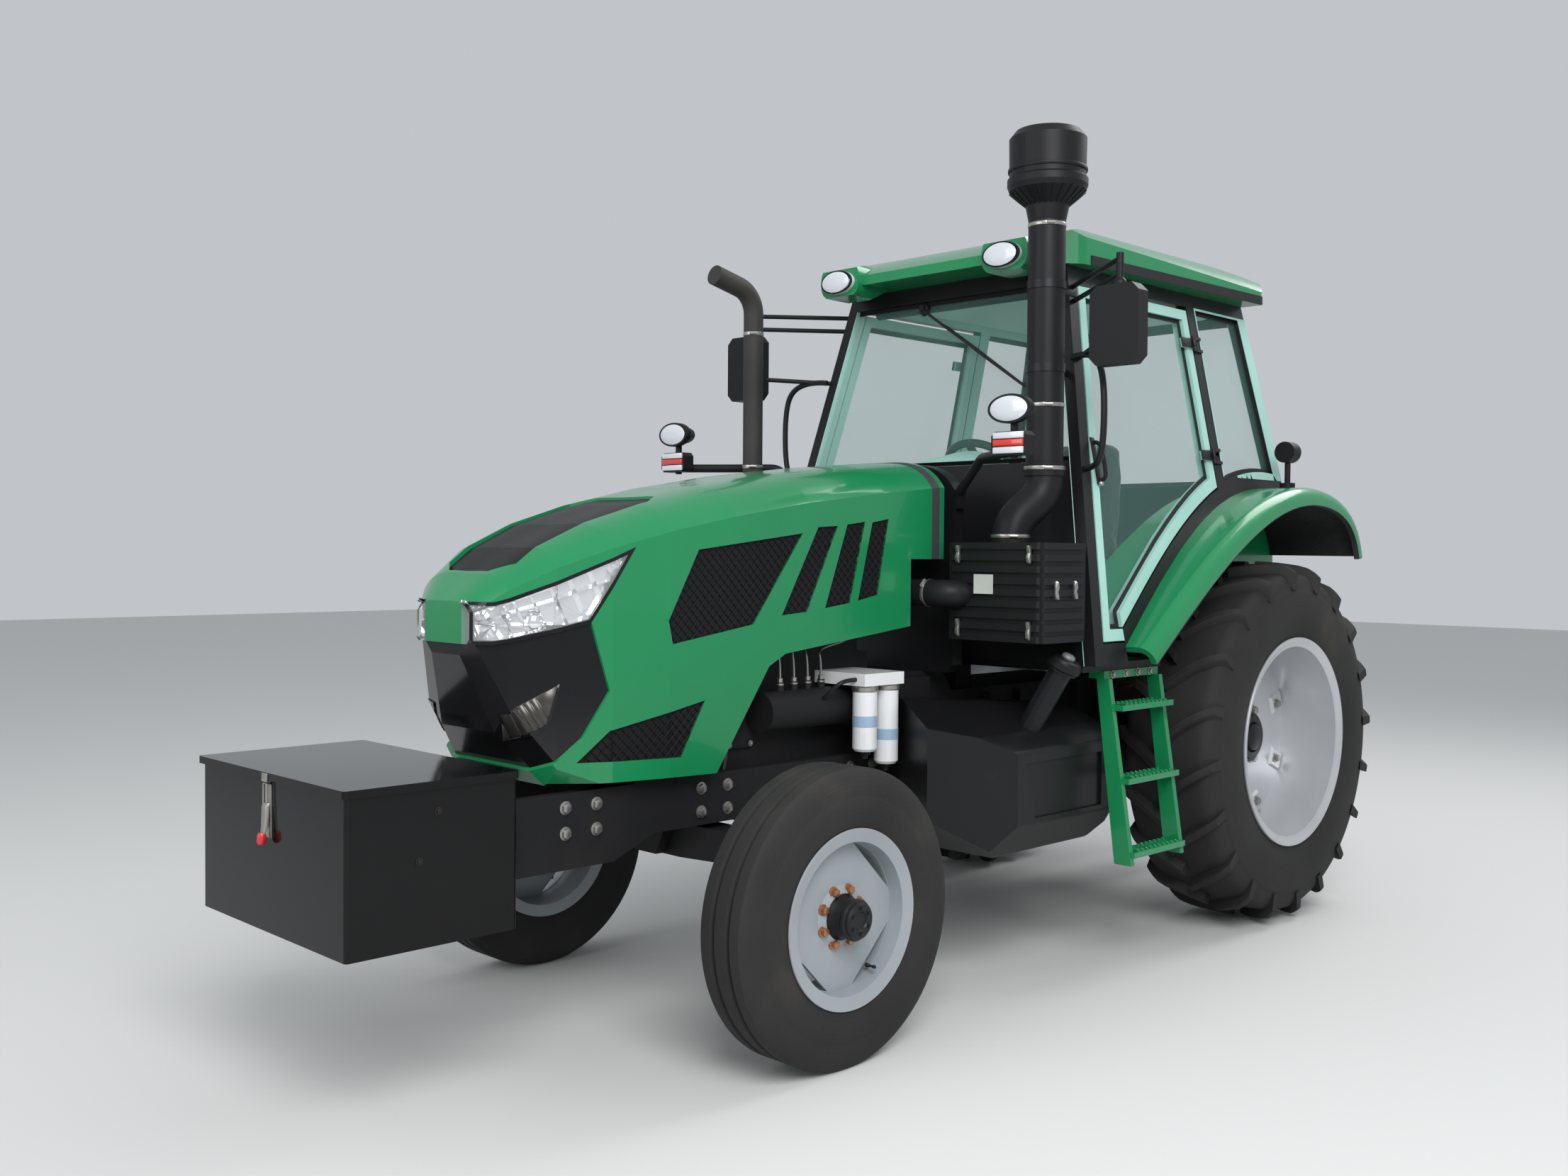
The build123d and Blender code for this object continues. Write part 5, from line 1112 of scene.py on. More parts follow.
# Air cleaner: a ribbed polypropylene box in front of the cab. Spring clips hold its halves together,
# worm clamps hold the hose, and a plain pale plate is riveted to its front.
POLY_BLACK = (0.01, 0.01, 0.011)
PLATE_PALE = (0.62, 0.63, 0.6)
poly_black = surface("poly_black", POLY_BLACK, 0.46, grain=240.0, relief=0.06, dust=0.04, gloss=0.2)
plate_pale = surface(
    "plate_pale", PLATE_PALE, 0.35, metallic=0.3, mottle=0.05, grain=200.0, relief=0.01
)
wear(poly_black, "air_cleaner")
cleaner_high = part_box("air_cleaner")[1]
cleaner_front = 0.142
plate = new_block("cleaner_plate", (cleaner_front, 0.565, 1.472), (cleaner_front + 0.002, 0.655, 1.545))
step_in(plate, towards(AHEAD), 0.004, -0.0006)
settle(plate, plate_pale, "chassis")
clip = bridged(
    "cleaner_clip",
    [
        [
            Vector((-half, level, 0.0)), Vector((half, level, 0.0)),
            Vector((0.8 * half, level, rise)), Vector((-0.8 * half, level, rise)),
        ]
        for level, half, rise in (
            (-0.034, 0.007, 0.004), (-0.026, 0.009, 0.01), (-0.008, 0.01, 0.012), (0.006, 0.009, 0.007),
            (0.02, 0.009, 0.011), (0.034, 0.006, 0.014),
        )
    ],
)
soften(clip, 0.001)
cleaner_clips = repeated(
    clip,
    "cleaner_clips",
    [
        Matrix.Translation((cleaner_front, across, level))
        @ Matrix.Rotation(radians(90), 4, "Y")
        @ Matrix.Rotation(radians(90), 4, "Z")
        for across, level in ((0.49, 1.62), (0.82, 1.62), (0.49, 1.34), (0.82, 1.34))
    ]
    + [
        Matrix.Translation((reach, cleaner_high.y, 1.49)) @ Matrix.Rotation(radians(-90), 4, "X")
        for reach in (0.06, -0.06)
    ],
)
settle(cleaner_clips, pipe_steel, "chassis")


def worm_clamp(name, place, axis, radius, width=0.014):
    """A steel band round a hose or pipe, with its screw housing."""
    band = spun(
        name,
        [
            (-width / 2, radius - 0.001), (-width / 2, radius + 0.0012), (-0.35 * width, radius + 0.002),
            (0.35 * width, radius + 0.002), (width / 2, radius + 0.0012), (width / 2, radius - 0.001),
        ],
        place,
        axis,
        steps=48,
    )
    out = Vector(axis).normalized().orthogonal().normalized()
    run = Vector(axis).normalized().cross(out)
    foot = Vector(place) + out * (radius + 0.006)
    screw = new_drum("clamp_screw", foot - run * 0.014, foot + run * 0.016, 0.0065, sides=8)
    step_in(screw, towards(run), 0.002, -0.003)
    settle(joined(band, screw), pipe_steel, "chassis")


worm_clamp("hose_clamp", (0.197, 0.395, 1.47), ACROSS, 0.052)

# Intake: a rubber elbow from the air cleaner into a steel stack beside the cab, under the round
# plastic bowl of the precleaner. Worm clamps and two straps to the cab's pillar hold it.
STACK_X, STACK_Y, STACK_R = -0.163, 0.665, 0.072
VANES = 24
wear(poly_black, "intake")
worm_clamp("elbow_clamp_low", (-0.023, 0.61, 1.69), UP, 0.073)
worm_clamp("elbow_clamp_high", (STACK_X, STACK_Y, 1.955), UP, 0.0785)
worm_clamp("stack_clamp_low", (STACK_X, STACK_Y, 2.198), UP, STACK_R)
worm_clamp("stack_clamp_high", (STACK_X, STACK_Y, 2.89), UP, STACK_R)
for level in (2.34, 2.66):
    pillar_x = -0.167 - 0.167 * (level - 1.3)
    collar = spun(
        f"stack_strap_{int(1000 * level)}",
        [
            (-0.016, STACK_R - 0.001), (-0.016, STACK_R + 0.004), (0.016, STACK_R + 0.004),
            (0.016, STACK_R - 0.001),
        ],
        (STACK_X, STACK_Y, level),
        UP,
        steps=48,
    )
    arm = new_block(
        "strap_arm",
        (pillar_x + 0.001, STACK_Y - 0.026, level - 0.014),
        (STACK_X - STACK_R, STACK_Y - 0.02, level + 0.014),
    )
    soften(arm, 0.002)
    settle(joined(collar, arm), satin_black, "chassis")
bowl_band = spun(
    "precleaner_band",
    [
        (-0.007, 0.1465), (-0.007, 0.1515), (-0.003, 0.153), (0.003, 0.153), (0.007, 0.1515),
        (0.007, 0.1465),
    ],
    (STACK_X, STACK_Y, 3.1),
    UP,
    steps=72,
)
settle(bowl_band, poly_black, "chassis")
vane = bridged(
    "precleaner_vane",
    [
        [
            Vector((0.08 + reach, -0.004, level)), Vector((0.084 + reach, -0.004, level)),
            Vector((0.084 + reach, 0.004, level)), Vector((0.08 + reach, 0.004, level)),
        ]
        for reach, level in ((0.0, 2.962), (0.034, 2.99), (0.066, 3.018))
    ],
)
vanes = repeated(
    vane,
    "precleaner_vanes",
    [
        Matrix.Translation((STACK_X, STACK_Y, 0.0)) @ Matrix.Rotation(tau * k / VANES, 4, "Z")
        for k in range(VANES)
    ],
)
settle(vanes, poly_black, "chassis")

# Exhaust: a cast manifold along the engine's right side and a steel stack with a slotted heat guard,
# in heat-proof black that has dulled and browned. Clamps hold the guard and the outlet bend.
STOVE_BLACK = (0.028, 0.026, 0.025)
stove_black = surface(
    "stove_black", STOVE_BLACK, 0.62, mottle=0.25, grain=150.0, relief=0.08, dust=0.14, gloss=0.25
)
wear(stove_black, "exhaust")
pipe_x, pipe_y = 0.237, -0.56
worm_clamp("exhaust_clamp_low", (pipe_x, pipe_y, 1.985), UP, 0.042)
worm_clamp("exhaust_clamp_high", (pipe_x, pipe_y, 2.55), UP, 0.042)
GUARD_SLOTS = 5
guard = spun(
    "exhaust_guard",
    [(-0.15, 0.062), (-0.15, 0.066), (0.15, 0.066), (0.15, 0.062)],
    (pipe_x, pipe_y, 1.77),
    UP,
    steps=40,
)
for k in range(GUARD_SLOTS):
    level = 1.65 + 0.055 * k
    open_faces(guard)
    for edge in (level, level + 0.03):
        cut_through((0.0, 0.0, edge), UP)
    bpy.ops.object.mode_set(mode="OBJECT")
    step_in(
        guard,
        lambda centre, normal: level < centre.z < level + 0.03
        and abs(normal.z) < 0.3
        and (centre.x - pipe_x) * normal.x + (centre.y - pipe_y) * normal.y > 0
        and abs(normal.y) > 0.35,
        0.0018,
        -0.0025,
    )
settle(guard, stove_black, "chassis")

# Fuel tanks: rotation-moulded polyethylene on both sides under the cab, with a ribbed screw cap on
# the left tank's filler neck and a grey breather on top of the cap.
TANK_BLACK = (0.008, 0.008, 0.009)
CAP_GREY = (0.16, 0.17, 0.18)
tank_black = surface(
    "tank_black", TANK_BLACK, 0.38, mottle=0.1, grain=70.0, relief=0.09, dust=0.05, gloss=0.25
)
cap_grey = surface("cap_grey", CAP_GREY, 0.45, grain=200.0, relief=0.04)
wear(tank_black, "fuel_tanks")
cap_foot = Vector((-0.073, 0.82, 1.19))
cap_axis = Vector((-0.006, 0.019, 0.037)).normalized()
fuel_cap = spun(
    "fuel_cap",
    [(0.0, 0.061), (0.004, 0.064), (0.03, 0.064), (0.042, 0.058), (0.046, 0.05), (0.046, 0.0)],
    cap_foot,
    cap_axis,
    steps=36,
    closed=False,
)
step_in(fuel_cap, lambda centre, normal: abs(normal.dot(cap_axis)) < 0.1, 0.002, 0.003)
breather = spun(
    "fuel_cap_breather",
    [(0.045, 0.026), (0.052, 0.028), (0.06, 0.024), (0.064, 0.016), (0.065, 0.0)],
    cap_foot,
    cap_axis,
    steps=28,
    closed=False,
)
open_faces(fuel_cap)
bpy.ops.mesh.remove_doubles(threshold=0.0002)
bpy.ops.object.mode_set(mode="OBJECT")
settle(fuel_cap, poly_black, "chassis")
settle(breather, cap_grey, "chassis")

# Steps: folded steel stringers and treads welded up and enamelled green, hung from the cab floor by
# four bolts on each side. Punched teeth along the tread edges give grip.
wear(enamel_green, "steps")
step_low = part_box("steps")[0]
step_bolts = repeated(
    hex_bolt(0.012, 0.01),
    "step_bolts",
    [
        facing((step_low.x + reach, side * 0.85, 1.155), (0.0, side, 0.0))
        for reach in (0.06, 0.15, 0.24, 0.33)
        for side in (1, -1)
    ],
)
settle(step_bolts, bolt_steel, "chassis")
tooth = new_drum("tread_tooth", (0.0, 0.0, -0.001), (0.0, 0.0, 0.006), 0.008, sides=10)
step_in(tooth, towards(UP), 0.0035, -0.003)
teeth = repeated(
    tooth,
    "tread_teeth",
    [
        Matrix.Translation(
            (step_low.x + 0.055 + 0.031 * k, side * (0.905 - 0.03 * tread + edge), 0.482 + 0.28 * tread)
        )
        for tread in range(3)
        for k in range(10)
        for edge in (0.0125, 0.0725)
        for side in (1, -1)
    ],
)
settle(teeth, enamel_green, "chassis")

# Cab frame and doors: welded steel sections in satin black. Tinted glass is bonded on from outside, so
# the doors and rear pillars show mint. Pale vinyl lines the inside. Each door hangs on two hinges and
# has a pull handle with a button; a bent handrail is fixed to the pillar beside it.
TRIM_MINT = (0.42, 0.7, 0.62)
GLAZED_MINT = (0.33, 0.58, 0.51)
wear(satin_black, "cab_frame")
glazed_mint = surface("glazed_mint", GLAZED_MINT, 0.08, mottle=0.06, grain=3.0, relief=0.004, gloss=0.5)
wear(glazed_mint, "door_left", "door_right")
trim_mint = surface("trim_mint", TRIM_MINT, 0.55, mottle=0.04, grain=320.0, relief=0.08)


def door_face(level):
    """How far the left door's face stands from the middle of the cab at a height."""
    return 0.75 - 0.21 * (level - 2.0)


def inside_of_cab(centre, normal):
    """The faces of a side panel that look into the cab."""
    within = abs(centre.y) < door_face(centre.z) - 0.02 and centre.z > 1.35
    return within and normal.y * centre.y < -0.5 * abs(centre.y)


for node, body, name in (
    ("cab_frame", "chassis", "pillar_trim"),
    ("door_left", "door_left", "door_trim_left"),
    ("door_right", "door_right", "door_trim_right"),
):
    trim = outer_skin(name, node, inside_of_cab)
    lift_skin(trim, 0.0008)
    thicken(trim, 0.003, offset=1.0)
    settle(trim, trim_mint, body)
for side in ("left", "right"):
    edge = outer_skin(f"door_edge_{side}", f"door_{side}", lambda centre, normal: normal.y * centre.y > 0.4)
    keep_ring(edge, 0.016)
    outermost = min(edge.data.vertices, key=lambda vertex: vertex.co.x).index
    open_faces(edge, lambda centre, normal: False)
    bpy.ops.object.mode_set(mode="OBJECT")
    edge.data.vertices[outermost].select = True
    bpy.ops.object.mode_set(mode="EDIT")
    bpy.ops.mesh.select_mode(type="VERT")
    bpy.ops.mesh.select_linked()
    bpy.ops.mesh.select_all(action="INVERT")
    bpy.ops.mesh.delete(type="VERT")
    bpy.ops.object.mode_set(mode="OBJECT")
    lift_skin(edge, 0.001)
    thicken(edge, 0.003, offset=1.0)
    settle(edge, satin_black, f"door_{side}")
quarter_glaze = outer_skin(
    "quarter_glaze_left",
    "cab_frame",
    lambda centre, normal: normal.y > 0.6 and centre.y > 0.3 and centre.x < -1.33 and centre.z > 1.95,
    [((0.0, 0.0, 2.73), UP), ((0.0, 0.0, 1.97), DOWN), ((-1.385, 0.0, 0.0), AHEAD)],
)
lift_skin(quarter_glaze, 0.001)
thicken(quarter_glaze, 0.002, offset=1.0)
settle_pair(quarter_glaze, glazed_mint, "chassis")
HANDLE_X, HANDLE_Z, HANDLE_REACH = -0.38, 1.99, 0.075
HINGE_X, HINGE_OUT, HINGE_LEVELS = -1.313, 0.014, (2.06, 2.56)
hinge_sleeves = []
for k, level in enumerate(HINGE_LEVELS):
    sleeve = spun(
        f"hinge_sleeve_left_{k + 1}",
        [
            (-0.0195, 0.0096), (-0.0195, 0.0112), (-0.018, 0.0118), (0.018, 0.0118),
            (0.0195, 0.0112), (0.0195, 0.0096),
        ],
        (HINGE_X, door_face(level) + HINGE_OUT, level),
        (0.0, -0.21, 1.0),
        steps=24,
    )
    plate = new_block(
        f"hinge_plate_left_{k + 1}", (HINGE_X + 0.012, -0.0035, -0.022), (HINGE_X + 0.1, 0.0, 0.022)
    )
    step_in(plate, towards(ACROSS), 0.006, 0.0015)
    soften(plate, 0.0015)
    for vertex in plate.data.vertices:
        vertex.co.y += door_face(level + vertex.co.z) + 0.0115
        vertex.co.z += level
    hinge_sleeves += [sleeve, plate]
for piece in hinge_sleeves:
    settle_pair(piece, satin_black, "door_left")
handle_plate = bridged(
    "door_plate_left",
    [
        [
            Vector((HANDLE_X - 0.014, door_face(level) + lift, level)),
            Vector((HANDLE_X + 0.014, door_face(level) + lift, level)),
            Vector((HANDLE_X + 0.012, door_face(level) + lift + 0.008, level)),
            Vector((HANDLE_X - 0.012, door_face(level) + lift + 0.008, level)),
        ]
        for level, lift in (
            (HANDLE_Z - HANDLE_REACH - 0.02, 0.0), (HANDLE_Z - 0.03, 0.0005), (HANDLE_Z + 0.03, 0.0005),
            (HANDLE_Z + HANDLE_REACH + 0.02, 0.0),
        )
    ],
)
soften(handle_plate, 0.003)
handle_grip = bent_rod(
    "door_grip_left",
    [
        (HANDLE_X, door_face(HANDLE_Z + rise) + reach, HANDLE_Z + rise)
        for rise, reach in (
            (-HANDLE_REACH, 0.006), (-HANDLE_REACH, 0.036), (-0.03, 0.042), (0.03, 0.042),
            (HANDLE_REACH, 0.036), (HANDLE_REACH, 0.006),
        )
    ],
    0.0085,
)
handle_button = spun(
    "door_button_left",
    [(0.0, 0.0), (0.0, 0.011), (0.012, 0.011), (0.015, 0.008), (0.015, 0.0)],
    (HANDLE_X, door_face(HANDLE_Z - 0.09) + 0.004, HANDLE_Z - 0.09),
    (0.0, 1.0, 0.21),
    steps=20,
    closed=False,
)
for piece, finish in ((handle_plate, hub_black), (handle_grip, hub_black), (handle_button, pipe_steel)):
    settle_pair(piece, finish, "door_left")
handrail = bent_rod(
    "handrail_left",
    [
        (-0.335, 0.67, 2.4), (-0.31, 0.75, 2.41), (-0.27, 0.84, 2.37), (-0.262, 0.868, 2.26),
        (-0.262, 0.868, 2.08), (-0.265, 0.85, 1.98), (-0.285, 0.79, 1.955), (-0.3, 0.745, 1.955),
    ],
    0.0125,
    sides=16,
)
settle_pair(handrail, satin_black, "chassis")

# Cab glass: toughened panes with a pale mint tint, bonded in with a black border. A wiper hangs from
# the header, a thin round arm with a rubber blade that lies on the windscreen.
GLASS_MINT = (0.2, 0.42, 0.36)
glass_mint = clear_pane("glass_mint", GLASS_MINT, 0.1)
rubber_black = surface("rubber_black", (0.012, 0.012, 0.012), 0.6, grain=220.0, relief=0.05, gloss=0.25)
wear(glass_mint, "cab_glass", "door_glass_left", "door_glass_right")


def outside_of_pane(centre, normal):
    """The outer faces of the cab's panes."""
    out_front = normal.x * (centre.x + 1.05) > 0.3
    return out_front if abs(normal.x) > 0.6 else abs(normal.y) > 0.6 and normal.y * centre.y > 0


for node, body, name in (
    ("cab_glass", "chassis", "pane_border"),
    ("door_glass_left", "door_left", "door_border_left"),
    ("door_glass_right", "door_right", "door_border_right"),
):
    border = outer_skin(name, node, outside_of_pane)
    keep_ring(border, 0.018)
    lift_skin(border, 0.002)
    thicken(border, 0.004)
    settle(border, rubber_black, body)
SCREEN_OUT = Vector((0.986, 0.0, 0.165))
wiper_top = Vector((-0.419, -0.159, 2.691))
wiper_tip = Vector((-0.352, 0.46, 2.29))
wiper_run = (wiper_tip - wiper_top).normalized()
wiper_arm = bent_rod(
    "wiper_arm",
    [
        wiper_top + SCREEN_OUT * 0.012,
        wiper_top + SCREEN_OUT * 0.045 + wiper_run * 0.03,
        wiper_top + SCREEN_OUT * 0.05 + wiper_run * 0.2,
        wiper_top + SCREEN_OUT * 0.022 + wiper_run * 0.46,
    ],
    0.006,
)
blade_side = wiper_run.cross(SCREEN_OUT)
wiper_blade = bridged(
    "wiper_blade",
    [
        [
            wiper_top + wiper_run * reach + SCREEN_OUT * 0.0045 - blade_side * 0.002,
            wiper_top + wiper_run * reach + SCREEN_OUT * 0.0045 + blade_side * 0.002,
            wiper_top + wiper_run * reach + SCREEN_OUT * rise + blade_side * half,
            wiper_top + wiper_run * reach + SCREEN_OUT * rise - blade_side * half,
        ]
        for reach, rise, half in (
            (0.16, 0.014, 0.003), (0.2, 0.02, 0.006), (0.4, 0.026, 0.008), (0.5, 0.026, 0.008),
            (0.7, 0.02, 0.006), (0.735, 0.014, 0.003),
        )
    ],
)
wiper_motor = spun(
    "wiper_spindle",
    [(-0.004, 0.0), (-0.004, 0.03), (0.012, 0.026), (0.018, 0.016), (0.028, 0.014), (0.03, 0.0)],
    wiper_top,
    SCREEN_OUT,
    steps=24,
    closed=False,
)
for piece in (wiper_arm, wiper_blade, wiper_motor):
    settle(piece, rubber_black, "chassis")

# Roof: a moulded cap enamelled green with thin eaves, lined inside with pale vinyl. A black band over
# the lower part of its side faces is painted shade under the eaves; a sun blind is rolled up behind the
# windscreen.
wear(enamel_green, "cab_roof")
# The top of a black band on the roof's lower side faces: painted shade under the eaves.
EAVE_SHADE_TOP = 2.83
roof_seal = outer_skin(
    "roof_seal",
    "cab_roof",
    lambda centre, normal: abs(normal.z) < 0.6 and centre.x < -0.4,
    [((0.0, 0.0, EAVE_SHADE_TOP), UP), ((-0.5, 0.0, 0.0), AHEAD)],
)
lift_skin(roof_seal, 0.001)
thicken(roof_seal, 0.003, offset=1.0)
settle(roof_seal, rubber_black, "chassis")
LINER_HALF = 0.5
liner = bridged(
    "roof_liner",
    [
        [
            Vector((-1.76, -half, level)), Vector((-0.47, -half, level)),
            Vector((-0.47, half, level)), Vector((-1.76, half, level)),
        ]
        for half, level in ((LINER_HALF, 2.784), (LINER_HALF, 2.755), (LINER_HALF - 0.06, 2.735))
    ],
)
soften(liner, 0.01)
settle(liner, trim_mint, "chassis")
blind = bent_rod("sun_blind", [(-0.455, -0.46, 2.7), (-0.455, 0.46, 2.7)], 0.022, sides=20, smooth=False)
settle(blind, hub_black, "chassis")

# Seat: foam pads in dark cloth on a steel pan, over a suspension box with a pleated cover. The pads
# are sewn with two lengthwise channels and bulge a little between them.
SEAT_CLOTH = (0.028, 0.029, 0.033)
PAD_HALF = 0.225
PAD_VOXEL = 0.006
PAD_PRESSURE = 4.0
PAD_STEPS = 20
PAD_SWELL = 0.014  # how far a point of a pad may move as it fills
SEAM_WIDTH, SEAM_DEPTH = 0.02, 0.011
CHANNELS = (-0.11, 0.11)


def seat_cloth():
    """A woven cloth: two crossed bands for the threads under a soft colour drift."""
    material = surface("seat_cloth", SEAT_CLOTH, 0.88, mottle=0.15, grain=500.0, relief=0.15)
    tree = material.node_tree
    material.node_tree.nodes["Principled BSDF"].inputs["Sheen Weight"].default_value = 0.25
    place = tree.nodes.new("ShaderNodeTexCoord")
    weave = tree.nodes.new("ShaderNodeTexWave")
    weave.bands_direction = "DIAGONAL"
    weave.inputs["Scale"].default_value = 90.0
    thread = tree.nodes.new("ShaderNodeBump")
    thread.inputs["Strength"].default_value = 0.3
    thread.inputs["Distance"].default_value = 0.001
    tree.links.new(place.outputs["Object"], weave.inputs["Vector"])
    tree.links.new(weave.outputs["Fac"], thread.inputs["Height"])
    tree.links.new(thread.outputs["Normal"], tree.nodes["grain_relief"].inputs["Normal"])
    return material


def stuffed(pad):
    """Fills a pad as foam fills its cover: it swells under a light pressure, and only so far."""
    modified(pad, "REMESH", mode="VOXEL", voxel_size=PAD_VOXEL)
    before = [vertex.co.copy() for vertex in pad.data.vertices]
    cloth = pad.modifiers.new("stuffing", "CLOTH")
    cloth.settings.use_pressure = True
    cloth.settings.uniform_pressure_force = PAD_PRESSURE
    cloth.settings.effector_weights.gravity = 0.0
    for step in range(1, PAD_STEPS + 1):
        bpy.context.scene.frame_set(step)
    bpy.ops.object.modifier_apply(modifier="stuffing")
    bpy.context.scene.frame_set(1)
    for vertex, rest in zip(pad.data.vertices, before):
        move = vertex.co - rest
        if move.length > PAD_SWELL:
            vertex.co = rest + move.normalized() * PAD_SWELL
    modified(pad, "SMOOTH", iterations=4)
    modified(pad, "SUBSURF", levels=1)
    return pad


def sew_channels(pad, outward):
    """Draws the pad in along its lengthwise seams, on the side that faces outward."""
    for vertex in pad.data.vertices:
        near = min(abs(vertex.co.y - channel) for channel in CHANNELS)
        if vertex.normal.dot(outward) > 0.5 and near < SEAM_WIDTH:
            vertex.co -= Vector(outward) * SEAM_DEPTH * (1.0 - near / SEAM_WIDTH) ** 2


cloth_dark = seat_cloth()
seat_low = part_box("seat")[0]
pan_x = (seat_low.x + 0.13, seat_low.x + 0.62)
cushion = bridged(
    "seat_cushion",
    [
        [
            Vector((pan_x[0] + rim, rim - PAD_HALF, level)),
            Vector((pan_x[1] - rim, rim - PAD_HALF, level + nose)),
            Vector((pan_x[1] - rim, PAD_HALF - rim, level + nose)),
            Vector((pan_x[0] + rim, PAD_HALF - rim, level)),
        ]
        for level, rim, nose in (
            (1.525, 0.015, 0.0), (1.56, 0.0, 0.01), (1.59, 0.0, 0.015), (1.612, 0.03, 0.015),
        )
    ],
)
soften(cushion, 0.02, 3)
sew_channels(stuffed(cushion), Vector(UP))
back_lean = Vector((-0.128, 0.0, 1.0)).normalized()
back_front = Vector((1.0, 0.0, 0.128)).normalized()
back_foot = Vector((seat_low.x + 0.105, 0.0, 1.6))
backrest = bridged(
    "seat_back",
    [
        [
            back_foot + back_lean * rise + back_front * -thick + Vector((0.0, -half, 0.0)),
            back_foot + back_lean * rise + back_front * thick + Vector((0.0, -half + 0.02, 0.0)),
            back_foot + back_lean * rise + back_front * thick + Vector((0.0, half - 0.02, 0.0)),
            back_foot + back_lean * rise + back_front * -thick + Vector((0.0, half, 0.0)),
        ]
        for rise, half, thick in (
            (0.0, 0.19, 0.035), (0.03, 0.205, 0.045), (0.2, 0.21, 0.045), (0.4, 0.205, 0.042),
            (0.53, 0.18, 0.036), (0.56, 0.15, 0.026),
        )
    ],
)
soften(backrest, 0.015, 3)
sew_channels(stuffed(backrest), back_front)
seat_base = new_block("seat_base", (seat_low.x + 0.16, -0.14, seat_low.z), (seat_low.x + 0.4, 0.14, 1.5))
open_faces(seat_base)
for fold in range(1, 6):
    cut_through((0.0, 0.0, seat_low.z + 0.01 * fold), UP)
bpy.ops.object.mode_set(mode="OBJECT")
for vertex in seat_base.data.vertices:
    fold = round((vertex.co.z - seat_low.z) / 0.01)
    pleat = 0.012 if fold in (1, 3, 5) else 0.0
    vertex.co.x += pleat if vertex.co.x > seat_low.x + 0.28 else -pleat
    vertex.co.y += pleat if vertex.co.y > 0 else -pleat
pan = new_block("seat_pan", (pan_x[0], -0.215, 1.496), (pan_x[1] - 0.02, 0.215, 1.522))
step_in(pan, towards(DOWN), 0.03, 0.012)
soften(pan, 0.008)
for pad in (cushion, backrest):
    settle(pad, cloth_dark, "chassis", smooth=60.0)
settle(seat_base, rubber_black, "chassis", smooth=20.0)
settle(pan, hub_black, "chassis")
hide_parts("seat")

# Controls: a vinyl-covered dashboard under a pale dome, with the steering wheel on its column.
# The wheel is steel moulded in black plastic; pedals, levers and a console stand on the floor.
WHEEL_R = 0.2
wear(trim_mint, "dashboard")
wheel_hub = Vector((-0.673, 0.0, 1.96))
wheel_axis = Vector((-170.0, 0.0, 160.0)).normalized()
wheel_rim = spun(
    "steering_rim",
    [(0.0182 * sin(tau * k / 12), WHEEL_R + 0.0182 * cos(tau * k / 12)) for k in range(12)],
    wheel_hub,
    wheel_axis,
    steps=64,
)
wheel_boss = spun(
    "steering_boss",
    [(-0.045, 0.0), (-0.045, 0.036), (-0.01, 0.045), (0.012, 0.05), (0.022, 0.042), (0.026, 0.0)],
    wheel_hub,
    wheel_axis,
    steps=36,
    closed=False,
)
spoke = bridged(
    "steering_spoke",
    [
        [
            Vector((-half, reach, -0.009)), Vector((half, reach, -0.009)),
            Vector((0.7 * half, reach, 0.009)), Vector((-0.7 * half, reach, 0.009)),
        ]
        for reach, half in ((0.03, 0.022), (0.09, 0.016), (0.19, 0.019))
    ],
)
spokes = repeated(
    spoke,
    "steering_spokes",
    [facing(wheel_hub, wheel_axis) @ Matrix.Rotation(tau * k / 4, 4, "Z") for k in range(4)],
)
column = bent_rod(
    "column_sleeve",
    [(-0.5, 0.0, 1.81), (-0.6, 0.0, 1.885), (-0.66, 0.0, 1.945)],
    0.036,
    sides=20,
    smooth=False,
)
for piece in (wheel_rim, wheel_boss, spokes, column):
    settle(piece, hub_black, "chassis")
console = bridged(
    "side_console",
    [
        [
            Vector((rear, -0.5, level)), Vector((front, -0.5, level)),
            Vector((front, -0.33 - lean, level)), Vector((rear, -0.33 - lean, level)),
        ]
        for rear, front, level, lean in (
            (-1.5, -0.98, 1.431, 0.0), (-1.52, -0.96, 1.6, 0.005),
            (-1.5, -0.97, 1.72, 0.01), (-1.48, -1.0, 1.75, 0.03),
        )
    ],
)
soften(console, 0.012, 3)
settle(console, poly_black, "chassis")
for k, lever_x in enumerate((-1.05, -1.14, -1.23)):
    lever = bent_rod(
        f"console_lever_{k + 1}",
        [(lever_x, -0.42, 1.745), (lever_x + 0.01, -0.42, 1.8), (lever_x + 0.03, -0.415, 1.86)],
        0.006,
    )
    settle(lever, pipe_steel, "chassis")
    knob = spun(
        f"console_knob_{k + 1}",
        [(0.0, 0.0), (0.0, 0.009), (0.012, 0.016), (0.03, 0.018), (0.042, 0.012), (0.045, 0.0)],
        (lever_x + 0.028, -0.415, 1.853),
        (0.3, 0.05, 1.0),
        steps=20,
        closed=False,
    )
    settle(knob, grip_red if k == 0 else hub_black, "chassis")
for pedal_name, pedal_y in (("clutch", 0.27), ("brake_left", -0.24), ("brake_right", -0.33)):
    pedal_arm = bent_rod(
        f"pedal_arm_{pedal_name}",
        [(-0.3, pedal_y, 1.62), (-0.36, pedal_y, 1.5), (-0.44, pedal_y, 1.4), (-0.47, pedal_y, 1.375)],
        0.008,
    )
    settle(pedal_arm, hub_black, "chassis")
    pedal_pad = new_block(
        f"pedal_pad_{pedal_name}", (-0.5, pedal_y - 0.035, 1.355), (-0.44, pedal_y + 0.035, 1.372)
    )
    step_in(pedal_pad, towards(UP), 0.008, 0.004)
    soften(pedal_pad, 0.004)
    settle(pedal_pad, rubber_black, "chassis")
RIB_PITCH = 0.03
MAT_REAR, MAT_TOP = -1.05, 1.2075
mat = new_block("floor_mat", (-1.07, -0.48, 1.2005), (-0.57, 0.48, 1.206))
